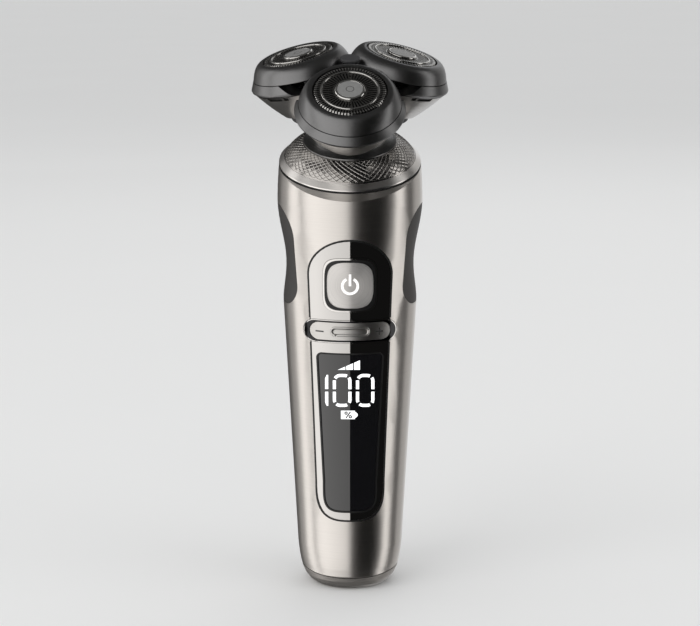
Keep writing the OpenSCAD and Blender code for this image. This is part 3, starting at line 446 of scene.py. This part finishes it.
# A nought of six strokes with small gaps, given as arcs in degrees and straight lines
def zero(x0, x1):
    half, curve, join = DIGIT_HALF, DIGIT_CURVE, DIGIT_JOIN
    left, right, low, high = x0 + half, x1 - half, DIGIT_LOW + half, DIGIT_TOP - half
    left_in, right_in, low_in, high_in = left + curve, right - curve, low + curve, high - curve
    mid = (DIGIT_LOW + DIGIT_TOP) / 2
    over, under = mid + DIGIT_GAP, mid - DIGIT_GAP
    top = (arc(left_in, high_in, curve, 150, 90, 6) + line((left_in + join, high), (right_in - join, high), 8)
           + arc(right_in, high_in, curve, 90, 62, 4))
    right_high = arc(right_in, high_in, curve, 36, 0, 5) + line((right, high_in - join), (right, over), 6)
    right_low = line((right, under), (right, low_in + join), 6) + arc(right_in, low_in, curve, 0, -30, 5)
    foot = (arc(right_in, low_in, curve, -60, -90, 4) + line((right_in - join, low), (left_in + join, low), 8)
            + arc(left_in, low_in, curve, -90, -130, 5))
    left_low = arc(left_in, low_in, curve, -155, -180, 4) + line((left, low_in + join), (left, under), 6)
    left_high = line((left, over), (left, high_in + 2 * join), 6)
    return [stroke(points, half) for points in (top, right_high, right_low, foot, left_low, left_high)]


# A one of two upright strokes, each cut away at its outer end
def one(x0, x1):
    mid = (DIGIT_LOW + DIGIT_TOP) / 2
    out = []
    for a, b in ((mid + ONE_GAP, DIGIT_TOP - ONE_END), (mid - ONE_GAP, DIGIT_LOW + ONE_END)):
        strip = []
        for i, z in enumerate(steps(a, b, ONE_STEPS)):
            cut = ONE_CUT * max(0.0, (i - ONE_STRAIGHT) / (ONE_STEPS - ONE_STRAIGHT))
            strip.append(((x0 + cut, z), (x1, z)))
        out.append(strip)
    return out


def bar(a, b):
    strip = []
    for x in steps(a, b, BAR_STEPS):
        rise = max(BAR_LEAST, (x - BAR_LEFT) / (BAR_RIGHT - BAR_LEFT) * BAR_RISE)
        strip.append(((x, BAR_Z), (x, BAR_Z + rise)))
    return strip


def display_sign(name, strips):
    plate(name, strips, on_lens, SIGN_TOP, SIGN_LOW, "display_glow", "handle", "dark_glass")


display_sign("display_digits", one(*ONE_SPAN) + [s for span in ZERO_SPANS for s in zero(*span)])
display_sign("display_bars", [bar(*span) for span in BAR_SPANS])
display_sign("display_battery", [
    [((x, CELL_LOW), (x, CELL_TOP)) for x in steps(CELL_LEFT, CELL_RIGHT, CELL_STEPS)],
    [((x, low), (x, top)) for x, low, top in CELL_TIP],
])
percent = [stroke(line(*SLASH, SLASH_STEPS), SLASH_HALF)]
percent += [stroke(arc(*dot, DOT_R, 0, 360, DOT_STEPS), DOT_HALF) for dot in DOTS]
plate("display_percent", percent, on_lens, PERCENT_TOP, PERCENT_LOW, "sign_dark", "handle", "dark_glass")

# Outlines on the front: ovals (an ellipse at power 2, squarer above), rounded squares and pills
Oval = collections.namedtuple("Oval", "half deep middle power")


def bulge(u, v, power):
    return (abs(u) ** power + abs(v) ** power) ** (-1.0 / power)


def bowl(oval, a0, a1, n):
    out = []
    for u, v in arc(0.0, 0.0, 1.0, a0, a1, n):
        far = bulge(u, v, oval.power)
        out.append((oval.half * u * far, oval.middle + oval.deep * v * far))
    return out


def squircle(half, power, z, n):
    out = []
    for i in range(n + 1):
        t = 2 * math.pi * i / n
        c, s = math.cos(t), math.sin(t)
        out.append((math.copysign(half * abs(c) ** (2 / power), c),
                    z + math.copysign(half * abs(s) ** (2 / power), s)))
    return out


def pill(half, high, z, n):
    r = high / 2
    right = arc(half - r, z, r, -90, 90, n)
    left = arc(r - half, z, r, 90, 270, n)
    under = line((r - half, z - r), (half - r, z - r), n)
    over = line(right[-1], left[0], n)
    return under[:-1] + right + over[1:-1] + left


# Seams and trims of the panel: near-black strips in the seams and round the button, painted shade standing in
# for the shade in those gaps; bright line round the rocker
PANEL_TOP, PANEL_LOW, ARCH_Z, BOWL_Z = 12.6, 10.4, 100.3, 35.8
PANEL_ARCH = Oval(half=PANEL_TOP, deep=10.5, middle=ARCH_Z, power=2.0)
PANEL_FOOT = Oval(half=PANEL_LOW, deep=12.5, middle=BOWL_Z, power=3.3)
LENS_TOP, LENS_LOW, LENS_Z1, LENS_CORNER = 10.0, 8.1, 76.1, 1.5
LENS_FOOT = Oval(half=LENS_LOW, deep=9.5, middle=35.7, power=4.6)
RIM_HALF, RIM_HIGH, RIM_CLEAR = 14.1, 7.0, 0.3
PANEL_SHADE_LOW = -0.1
PANEL_SEAM_HALF, PANEL_SEAM_TOP = 0.27, 0.14
LENS_SEAM_HALF, LENS_SEAM_TOP = 0.26, 0.15
GAP_OUTER, GAP_INNER, GAP_SIDES = (7.7, 4.2), (7.0, 3.2), 96
GAP_TOP, GAP_LOW = 0.43, 0.28
TRIM_INSET, TRIM_HALF, TRIM_TOP, TRIM_LOW = 0.16, 0.11, 0.23, -0.05
SHORT_STEPS, LONG_STEPS, ARCH_STEPS, BOWL_STEPS = 10, 30, 48, 64
LENS_STEPS, CORNER_STEPS, TRIM_STEPS = 16, 8, 24


def panel_edge(z):
    return mix(PANEL_LOW, PANEL_TOP, (z - BOWL_Z) / (ARCH_Z - BOWL_Z))


def panel_seams():
    above, below = ROCKER_Z + RIM_HIGH / 2 + RIM_CLEAR, ROCKER_Z - RIM_HIGH / 2 - RIM_CLEAR
    upper = (line((panel_edge(above), above), (PANEL_TOP, ARCH_Z), SHORT_STEPS)[:-1]
             + bowl(PANEL_ARCH, 0, 180, ARCH_STEPS)
             + line((-PANEL_TOP, ARCH_Z), (-panel_edge(above), above), SHORT_STEPS)[1:])
    lower = (line((-panel_edge(below), below), (-PANEL_LOW, BOWL_Z), LONG_STEPS)[:-1]
             + bowl(PANEL_FOOT, 180, 360, BOWL_STEPS)
             + line((PANEL_LOW, BOWL_Z), (panel_edge(below), below), LONG_STEPS)[1:])
    return [stroke(upper, PANEL_SEAM_HALF), stroke(lower, PANEL_SEAM_HALF)]


def lens_seam():
    side, shoulder = LENS_TOP - LENS_CORNER, LENS_Z1 - LENS_CORNER
    points = (line((-side, LENS_Z1), (side, LENS_Z1), LENS_STEPS)[:-1]
              + arc(side, shoulder, LENS_CORNER, 90, 0, CORNER_STEPS)
              + line((LENS_TOP, shoulder), (LENS_LOW, LENS_FOOT.middle), LONG_STEPS)[1:-1]
              + bowl(LENS_FOOT, 360, 180, BOWL_STEPS)
              + line((-LENS_LOW, LENS_FOOT.middle), (-LENS_TOP, shoulder), LONG_STEPS)[1:-1]
              + arc(-side, shoulder, LENS_CORNER, 180, 90, CORNER_STEPS))
    return [stroke(points + points[1:2], LENS_SEAM_HALF)]


# Painted shade: thin near-black strips laid over the panel and lens seams
plate("panel_seam_shade", panel_seams(), on_front, PANEL_SEAM_TOP, PANEL_SHADE_LOW,
      "dark_gap", "handle", "black_plastic")
plate("lens_seam_shade", lens_seam(), on_front, LENS_SEAM_TOP, PANEL_SHADE_LOW,
      "dark_gap", "handle", "black_plastic")
# Painted shade: a near-black ring laid in the gap round the button
gap = list(zip(squircle(*GAP_OUTER, POWER_Z, GAP_SIDES), squircle(*GAP_INNER, POWER_Z, GAP_SIDES)))
plate("button_gap_shade", [gap], on_front, GAP_TOP, GAP_LOW, "dark_gap", "handle", "black_plastic")
trim = pill(RIM_HALF - TRIM_INSET, RIM_HIGH - 2 * TRIM_INSET, ROCKER_Z, TRIM_STEPS)
plate("rocker_trim", [stroke(trim + trim[:2], TRIM_HALF)],
      on_front, TRIM_TOP, TRIM_LOW, "chrome", "handle", "black_plastic")

# Frame and lens: their foot is squarer than the ellipse of the solids
FOOT_CLEAR, FADE_POWER = 0.01, 4
SLOPE_STEP, FRONT_SHARE = 0.01, 0.9


def reach(x, z, oval):
    return math.hypot(x / oval.half, (oval.middle - z) / oval.deep)


def squarer(x, z, oval):
    far = reach(x, z, oval)
    grow = bulge(x / oval.half / far, (oval.middle - z) / oval.deep / far, oval.power)
    share = 1.0 + (grow - 1.0) * min(1.0, far) ** FADE_POWER
    return x * share, oval.middle - (oval.middle - z) * share


def front_normal(x, y, z):
    slope = (body_r(z + SLOPE_STEP) - body_r(z - SLOPE_STEP)) / (2 * SLOPE_STEP)
    return Vector((x, y, -slope * math.hypot(x, y))).normalized()


def smooth_front(mesh):
    normals = [None] * len(mesh.loops)
    for f in mesh.polygons:
        for i in f.loop_indices:
            spot = mesh.vertices[mesh.loops[i].vertex_index].co
            n = front_normal(*[c / MM for c in spot])
            normals[i] = n if n.dot(f.normal) > FRONT_SHARE else f.normal.copy()
    mesh.normals_split_custom_set(normals)


def squared(name, node, ovals, look, slot):
    def move(p):
        x, y, z = p
        oval = min(ovals, key=lambda o: abs(reach(x, z, o) - 1.0))
        if z >= oval.middle - FOOT_CLEAR:
            return p
        return on_front(*squarer(x, z, oval), math.hypot(x, y) - body_r(z))

    smooth_front(reshaped(name, node, move, look, "handle", slot).data)


squared("panel_frame", "fascia", (PANEL_FOOT, LENS_FOOT), "mirror_panel", "gloss_panel")
squared("lens_glass", "display_lens", (LENS_FOOT,), "dark_glass", "dark_glass")

# Raised centre of the rocker: a pill whose rim slopes down to a scoop in the middle
SCOOP_OUTER, SCOOP_INNER, SCOOP_STEPS = (6.0, 3.0), (5.25, 1.5), 16
SCOOP_TOP, SCOOP_EDGE = 0.28, 0.13


def scoop_rim():
    outer, inner = pill(*SCOOP_OUTER, ROCKER_Z, SCOOP_STEPS), pill(*SCOOP_INNER, ROCKER_Z, SCOOP_STEPS)
    verts = []
    for a, b in zip(outer, inner):
        verts += [on_front(*a, 0.0), on_front(*a, SCOOP_TOP), on_front(*b, SCOOP_EDGE), on_front(*b, 0.0)]
    return verts, closed_faces(len(outer), len(verts) // len(outer))


make_piece("rocker_scoop", *scoop_rim(), "rocker_metal", "speed_rocker", "satin_metal", True)

# Stand-by sign on the button, minus and plus on the rocker
BUTTON_OUT, ICON_TOP, ICON_LOW = 0.25, 0.05, -0.04
ICON_R, ICON_HALF, ICON_DROP, ICON_FROM, ICON_TO, ICON_STEPS = 2.32, 0.36, 0.15, 118, 422, 44
ICON_BAR_TOP, ICON_BAR_LOW, ICON_BAR_STEPS = 3.4, -0.1, 6
ROCKER_OUT, MARK_TOP, MARK_LOW = 0.1, 0.025, -0.04
MARK_Z, MARK_HALF, MARK_STEPS = 82.85, 0.2, 8
MINUS, PLUS = (-10.4, -7.95), (7.7, 9.95)
PLUS_X, PLUS_REACH, PLUS_GAP, PLUS_HALF, PLUS_STEPS = 8.83, 1.13, 0.21, 0.17, 3


def on_button(x, z, off):
    return on_front(x, z, BUTTON_OUT + off)


def on_rocker(x, z, off):
    return on_front(x, z, ROCKER_OUT + off)


def flat_mark(x0, x1):
    return stroke(line((x0, MARK_Z), (x1, MARK_Z), MARK_STEPS), MARK_HALF)


def upright_mark(z0, z1):
    return stroke(line((PLUS_X, MARK_Z + z0), (PLUS_X, MARK_Z + z1), PLUS_STEPS), PLUS_HALF)


def rocker_mark(name, strips):
    plate(name, strips, on_rocker, MARK_TOP, MARK_LOW, "sign_dark", "speed_rocker", "black_plastic")


icon = [
    stroke(arc(0.0, POWER_Z - ICON_DROP, ICON_R, ICON_FROM, ICON_TO, ICON_STEPS), ICON_HALF),
    stroke(line((0.0, POWER_Z + ICON_BAR_TOP), (0.0, POWER_Z + ICON_BAR_LOW), ICON_BAR_STEPS), ICON_HALF),
]
plate("power_icon", icon, on_button, ICON_TOP, ICON_LOW, "icon_glow", "power_button", "button_metal")
rocker_mark("rocker_minus", [flat_mark(*MINUS)])
rocker_mark("rocker_plus", [flat_mark(*PLUS), upright_mark(PLUS_REACH, PLUS_GAP),
                            upright_mark(-PLUS_GAP, -PLUS_REACH)])

# Knurled collar: a dome with two crossing sets of raised spiral lines; shares run up the dome from 0 to 1
KNURL_AROUND, KNURL_ROWS, KNURL_LINES, KNURL_SWEEP = 1160, 96, 58, 5.5
KNURL_HALF, KNURL_SUNK, KNURL_HIGH = 0.095, 0.05, 0.13
KNURL_FROM, KNURL_TO, FADE_IN, FADE_OUT = 0.05, 0.985, 0.03, 0.02
COLLAR_R, NECK_R, SWELL_SHARE, DOME_STEP = 20.0, 14.1, 0.62, 0.01
DOME_FOOT, DOME_TOP = (COLLAR_R, 2.2), (14.2, 6.9)
DOME_SWELL = (mix(NECK_R, COLLAR_R, SWELL_SHARE), 5.6)
COLLAR_INSIDE = [(12.9, 6.9), (12.9, 5.6), (18.1, 2.0), (18.1, 1.28), (COLLAR_R, 1.28)]


def dome(u):
    return [bend(a, b, c, u) for a, b, c in zip(DOME_FOOT, DOME_SWELL, DOME_TOP)]


def dome_row(u):
    (ra, ha), (rb, hb) = dome(max(0.0, u - DOME_STEP)), dome(min(1.0, u + DOME_STEP))
    d = math.hypot(rb - ra, hb - ha)
    fade = min(1.0, max(0.0, (u - KNURL_FROM) / FADE_IN)) * min(1.0, max(0.0, (KNURL_TO - u) / FADE_OUT))
    return (u, *dome(u), (hb - ha) / d, (ra - rb) / d, fade)


def ridge(t, u):
    high = 0.0
    for way in (1, -1):
        f = (KNURL_LINES * t + way * KNURL_SWEEP * u) % 1.0
        off = min(f, 1.0 - f)
        high = max(high, 0.5 + 0.5 * math.cos(math.pi * min(1.0, off / KNURL_HALF)))
    return high


DOME_ROWS = [dome_row(u) for u in steps(0.0, 1.0, KNURL_ROWS)]


def knurled(a):
    out = []
    for u, r, h, nr, nh, fade in DOME_ROWS:
        cut = (KNURL_SUNK - KNURL_HIGH * ridge(a / (2 * math.pi), u)) * fade
        out.append((r - nr * cut, h - nh * cut))
    return out + COLLAR_INSIDE


collar = make_piece("knurled_dome", *turned(knurled, KNURL_AROUND, top_point),
                    "knurl_metal", "handle", "dark_chrome", True)
collar.data.set_sharp_from_angle(angle=KNURL_SHARP)
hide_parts("knurled_collar")

# Painted shade in the slanted seam under the shoulder ring: a near-black strip that stands in for the shade
# in the gap, kept inside the sleeve all round
SEAM_SHADE_IN, SEAM_SHADE_OUT, SEAM_SHADE_BEVEL, SEAM_SHADE_CLEAR = 21.2, 22.1, 21.72, 0.06
SEAM_SHADE_LOW, SEAM_SHADE_SIDE, SEAM_SHADE_TOP, SEAM_SHADE_AROUND, SEAM_SHADE_ROUNDS = 0.02, 0.22, 0.44, 144, 6


def seam_reach(a):
    r = SEAM_SHADE_OUT
    for _ in range(SEAM_SHADE_ROUNDS):
        z = HANDLE_H + r * math.sin(a) * math.sin(TILT)
        r = body_r(z) / math.hypot(math.cos(a), math.sin(a) * math.cos(TILT))
    return min(SEAM_SHADE_OUT, r - SEAM_SHADE_CLEAR)


def shoulder_shade_outline(a):
    edge = seam_reach(a)
    return [(SEAM_SHADE_IN, SEAM_SHADE_LOW), (edge, SEAM_SHADE_LOW), (edge, SEAM_SHADE_SIDE),
            (min(edge, SEAM_SHADE_BEVEL), SEAM_SHADE_TOP), (SEAM_SHADE_IN, SEAM_SHADE_TOP)]


# Painted shade: the near-black strip laid in the shoulder seam
make_piece("shoulder_seam_shade", *turned(shoulder_shade_outline, SEAM_SHADE_AROUND, top_point), "dark_gap", "handle", "black_plastic")

# On each cap: bright ring between the tracks, rim of the boss, crown of teeth at the edge, embossed boss
RING_R, BOSS_R = 0.775 * CAP_R, 0.4 * CAP_R
RING_SHAPE = ((0.30, 0.02), (0.26, 0.30), (0.12, 0.40), (-0.12, 0.40), (-0.26, 0.30), (-0.30, 0.02))
RIM_SHAPE = ((0.32, 0.02), (0.12, 0.42), (-0.16, 0.62), (-0.45, 0.64), (-0.62, 0.52))
RING_AROUND, BOSS_AROUND = 96, 120
TEETH, TOOTH_SHARE, TOOTH_IN, TOOTH_OUT = 72, 0.52, 9.7, 10.88
TOOTH_Z0, TOOTH_Z1, TOOTH_THICK = CAP_Z + 0.06, CAP_Z - 0.40, 0.25
TOOTH_BEND, TOOTH_BELLY = 0.55, 0.04
AXIS_R = 0.02
DISC_TOP, DISC_PEAK, DISC_THICK = CAP_Z + 0.66, 0.02, 0.3
DISC_R, DISC_OUT, DISC_STEPS = 3.72, 3.74, 36
GROOVES, GROOVE_DEEP = ((1.15, 0.13), (3.25, 0.11)), 0.06
DISC_EDGE, DISC_FALL = 3.4, 0.10
DENTS, DENT_R, DENT_SIZE, DENT_DEEP = 6, 2.35, 0.42, 0.07


def crown(k):
    verts, faces = [], []
    pitch = 2 * math.pi / TEETH
    half = 0.5 * TOOTH_SHARE * pitch
    outline = ((TOOTH_IN, TOOTH_Z0), (mix(TOOTH_IN, TOOTH_OUT, TOOTH_BEND), TOOTH_Z0 + TOOTH_BELLY),
               (TOOTH_OUT, TOOTH_Z1), (TOOTH_OUT, TOOTH_Z1 - TOOTH_THICK), (TOOTH_IN, TOOTH_Z0 - TOOTH_THICK))
    count = len(outline)
    for i in range(TEETH):
        base = len(verts)
        mid = (i + 0.5) * pitch
        for r, z in outline:
            for a in (mid - half, mid + half):
                verts.append(head_point((r * math.sin(a), -r * math.cos(a), z), k))
        for m in range(count):
            n = (m + 1) % count
            faces.append((base + 2 * m, base + 2 * m + 1, base + 2 * n + 1, base + 2 * n))
        faces.append(tuple(base + 2 * m for m in reversed(range(count))))
        faces.append(tuple(base + 2 * m + 1 for m in range(count)))
    return verts, faces


def disc_height(r):
    groove = sum(GROOVE_DEEP * math.exp(-((r - middle) / wide) ** 2) for middle, wide in GROOVES)
    return DISC_TOP - groove - DISC_FALL * max(0.0, (r - DISC_EDGE) / (DISC_R - DISC_EDGE)) ** 2


DISC = ([(AXIS_R, DISC_TOP + DISC_PEAK)] + [(r, disc_height(r)) for r in steps(0.0, DISC_R, DISC_STEPS)[1:]]
        + [(DISC_OUT, DISC_TOP - DISC_THICK), (AXIS_R, DISC_TOP - DISC_THICK)])


def dent(r, a):
    x, y = r * math.cos(a), r * math.sin(a)
    deep = 0.0
    for i in range(DENTS):
        b = (i + 0.5) * 2 * math.pi / DENTS
        d = math.hypot(x - DENT_R * math.cos(b), y - DENT_R * math.sin(b))
        deep += DENT_DEEP * math.exp(-(d / DENT_SIZE) ** 2)
    return deep


def cap_ring(_):
    return [(RING_R + r, CAP_Z + z) for r, z in RING_SHAPE]


def cap_rim(_):
    return [(BOSS_R + r, CAP_Z + z) for r, z in RIM_SHAPE]


def cap_boss(a):
    return [(r, z - dent(r, a)) for r, z in DISC]


for side, k in HEADS:
    head, place = "head_" + side, functools.partial(head_point, k=k)
    ring, rim = turned(cap_ring, RING_AROUND, place), turned(cap_rim, RING_AROUND, place)
    boss = turned(cap_boss, BOSS_AROUND, place)
    make_piece("cap_ring_" + side, *ring, "ring_steel", head, "cap_steel", True)
    make_piece("cap_rim_" + side, *rim, "ring_steel", head, "cap_steel", True)
    make_piece("cap_teeth_" + side, *crown(k), "ring_steel", head, "cap_steel")
    make_piece("cap_boss_" + side, *boss, "boss_steel", head, "cap_steel", True)

# Heads: holder and cup run on in one soft line across their seam. A curve has its foot, the solid's swell,
# the softer swell and its top, each as radius and height
Curve = collections.namedtuple("Curve", "foot swell soft top")
HOLDER = Curve((15.1, 0.23), (15.3, 4.7), (13.75, 4.75), (11.45, 4.8))
CUP = Curve((16.4, -2.4), (16.3, -0.9), (15.9, -1.45), (15.25, 0.0))
SKIN_CLEAR, SAME_POINT, HALVINGS = 0.05, 1e-6, 40


def radius_at(z, foot, swell, top):
    low, high = 0.0, 1.0
    for _ in range(HALVINGS):
        u = (low + high) / 2
        low, high = (u, high) if bend(foot[1], swell[1], top[1], u) < z else (low, u)
    return bend(foot[0], swell[0], top[0], low)


def soften(name, node, k, curve, body):
    foot, swell, soft, top = curve

    def move(p):
        x, y, z = head_local(p, k)
        if foot[1] < z < top[1] and math.hypot(x, y) > top[0] - SKIN_CLEAR:
            share = radius_at(z, foot, soft, top) / radius_at(z, foot, swell, top)
            x, y = x * share, y * share
        return head_point((x, y, z), k)

    mesh = reshaped(name, node, move, "cup_satin", body, "dark_chrome").data
    work = bmesh.new()
    work.from_mesh(mesh)
    bmesh.ops.remove_doubles(work, verts=work.verts, dist=SAME_POINT)
    work.to_mesh(mesh)
    work.free()
    mesh.shade_smooth()
    mesh.set_sharp_from_angle(angle=PLAIN_SHARP)


for side, k in HEADS:
    soften("holder_dome_" + side, "holder_" + side, k, HOLDER, "head_" + side)
    soften("cup_bowl_" + side, "cup_" + side, k, CUP, "head_" + side)

# Middle of the unit: a small cap on a stem that closes the gap where the three heads meet
HUB_R, HUB_TOP, HUB_ROUND, HUB_SIDE, HUB_AROUND = 2.95, 34.2, 0.2, 33.5, 48
STEM_R, STEM_TOP, STEM_LOW = 1.5, 31.6, 22.4


def hub(_):
    return [(AXIS_R, HUB_TOP), (HUB_R - HUB_ROUND, HUB_TOP), (HUB_R, HUB_TOP - HUB_ROUND), (HUB_R, HUB_SIDE),
            (STEM_R, STEM_TOP), (STEM_R, STEM_LOW), (AXIS_R, STEM_LOW)]


hub_piece = make_piece("unit_hub", *turned(hub, HUB_AROUND, top_point),
                       "frame_plastic", "shaving_unit", "grey_plastic", True)
hub_piece.data.set_sharp_from_angle(angle=PLAIN_SHARP)

# Studio, in metres: soft lamps aimed at the object, with place, size and watts, a pale world and a floor
LIGHTS = (
    ("key", (-0.75, -0.75, 0.95), 0.9, 3.4),
    ("fill", (0.95, -0.45, 0.75), 0.8, 1.5),
    ("back", (0.25, 0.95, 1.05), 0.9, 1.8),
)
LIGHT_AIM_Z = 0.09
WORLD_COLOUR, WORLD_POWER = (0.93, 0.935, 0.94), 0.78
FLOOR_COLOUR, FLOOR_ROUGH, FLOOR_GRAIN, FLOOR_VARY, FLOOR_GLOSS = (0.86, 0.86, 0.855), 0.9, 3, 0.006, 0.1
FLOOR_R, FLOOR_Z, FLOOR_SIDES = 25.0, -0.00002, 96


def circle(r, z, sides):
    turns = [2 * math.pi * i / sides for i in range(sides)]
    return [(r * math.cos(a), r * math.sin(a), z) for a in turns]


for name, place, size, watts in LIGHTS:
    data = bpy.data.lights.new(name, "AREA")
    data.shape = "SQUARE"
    data.size = size
    data.energy = watts
    lamp = bpy.data.objects.new(name, data)
    lamp.location = place
    dx, dy, dz = -place[0], -place[1], LIGHT_AIM_Z - place[2]
    lamp.rotation_euler = (math.atan2(math.hypot(dx, dy), -dz), 0.0, math.atan2(dy, dx) - math.pi / 2)
    lamp.visible_camera = False
    lamp.visible_glossy = False
    scene.collection.objects.link(lamp)

world = bpy.data.worlds.new("studio")
scene.world = world
world.use_nodes = True
sky = world.node_tree.nodes["Background"]
sky.inputs["Color"].default_value = (*WORLD_COLOUR, 1.0)
sky.inputs["Strength"].default_value = WORLD_POWER

floor_mat = new_material("floor_pale", FLOOR_COLOUR, 0.0, FLOOR_ROUGH)
tint(floor_mat, grain(floor_mat, FLOOR_GRAIN, FLOOR_GRAIN, SOFT_DETAIL), FLOOR_COLOUR, FLOOR_VARY)
shader_of(floor_mat).inputs["Specular IOR Level"].default_value = FLOOR_GLOSS
floor_mesh = bpy.data.meshes.new("floor")
floor_mesh.from_pydata(circle(FLOOR_R, FLOOR_Z, FLOOR_SIDES), [], [tuple(range(FLOOR_SIDES))])
floor_mesh.materials.append(floor_mat)
floor = bpy.data.objects.new("floor", floor_mesh)
scene.collection.objects.link(floor)
floor.visible_glossy = False

# Soft boxes and flags that the metal mirrors: from, to (degrees round from the camera), brightness at both
CARDS = (
    (-140.0, -112.0, 0.30, 0.30), (-112.0, -87.0, 1.22, 1.22), (-87.0, -80.0, 0.02, 0.02),
    (-80.0, -60.0, 1.20, 1.20), (-60.0, 0.0, 1.20, 0.88),
    (0.0, 76.0, 0.008, 0.008), (76.0, 95.0, 1.20, 1.20), (95.0, 119.0, 0.03, 0.03),
    (119.0, 150.0, 0.45, 0.45), (175.0, 220.0, 0.08, 0.08),
)
CARD_COLOUR = (1.0, 0.985, 0.965)
CARD_FAR, CARD_LOW, CARD_TOP, CARD_STEP, CARD_LEAST = 1.3, -1.6, 1.3, 3, 2
LIDS, LID_SHARE, LID_SIDES = (("roof", CARD_TOP, 0.07), ("ground", CARD_LOW, 0.10)), 1.02, 48


def card_material():
    mat = bpy.data.materials.new("soft_box")
    mat.use_nodes = True
    mat.node_tree.nodes.clear()
    add, link = mat.node_tree.nodes.new, mat.node_tree.links.new
    glow = add("ShaderNodeAttribute")
    glow.attribute_name = "glow"
    light = add("ShaderNodeEmission")
    light.inputs["Color"].default_value = (*CARD_COLOUR, 1.0)
    out = add("ShaderNodeOutputMaterial")
    link(glow.outputs["Fac"], light.inputs["Strength"])
    link(light.outputs["Emission"], out.inputs["Surface"])
    return mat


card_mat = card_material()


def add_card(name, verts, faces, glow):
    mesh = bpy.data.meshes.new(name)
    mesh.from_pydata(verts, [], faces)
    level = mesh.attributes.new("glow", "FLOAT", "POINT")
    for spot, value in zip(level.data, glow):
        spot.value = value
    mesh.materials.append(card_mat)
    card = bpy.data.objects.new(name, mesh)
    card.visible_camera = False
    card.visible_diffuse = False
    card.visible_shadow = False
    scene.collection.objects.link(card)


for i, (a0, a1, g0, g1) in enumerate(CARDS):
    count = max(CARD_LEAST, int((a1 - a0) / CARD_STEP))
    verts, glow = [], []
    for a, level in zip(steps(a0, a1, count), steps(g0, g1, count)):
        x, y = CARD_FAR * math.sin(math.radians(a)), -CARD_FAR * math.cos(math.radians(a))
        verts += [(x, y, CARD_LOW), (x, y, CARD_TOP)]
        glow += [level, level]
    faces = [(2 * j, 2 * j + 1, 2 * j + 3, 2 * j + 2) for j in range(count)]
    add_card("card_%d" % i, verts, faces, glow)

for name, z, level in LIDS:
    add_card(name, circle(LID_SHARE * CARD_FAR, z, LID_SIDES), [tuple(range(LID_SIDES))], [level] * LID_SIDES)
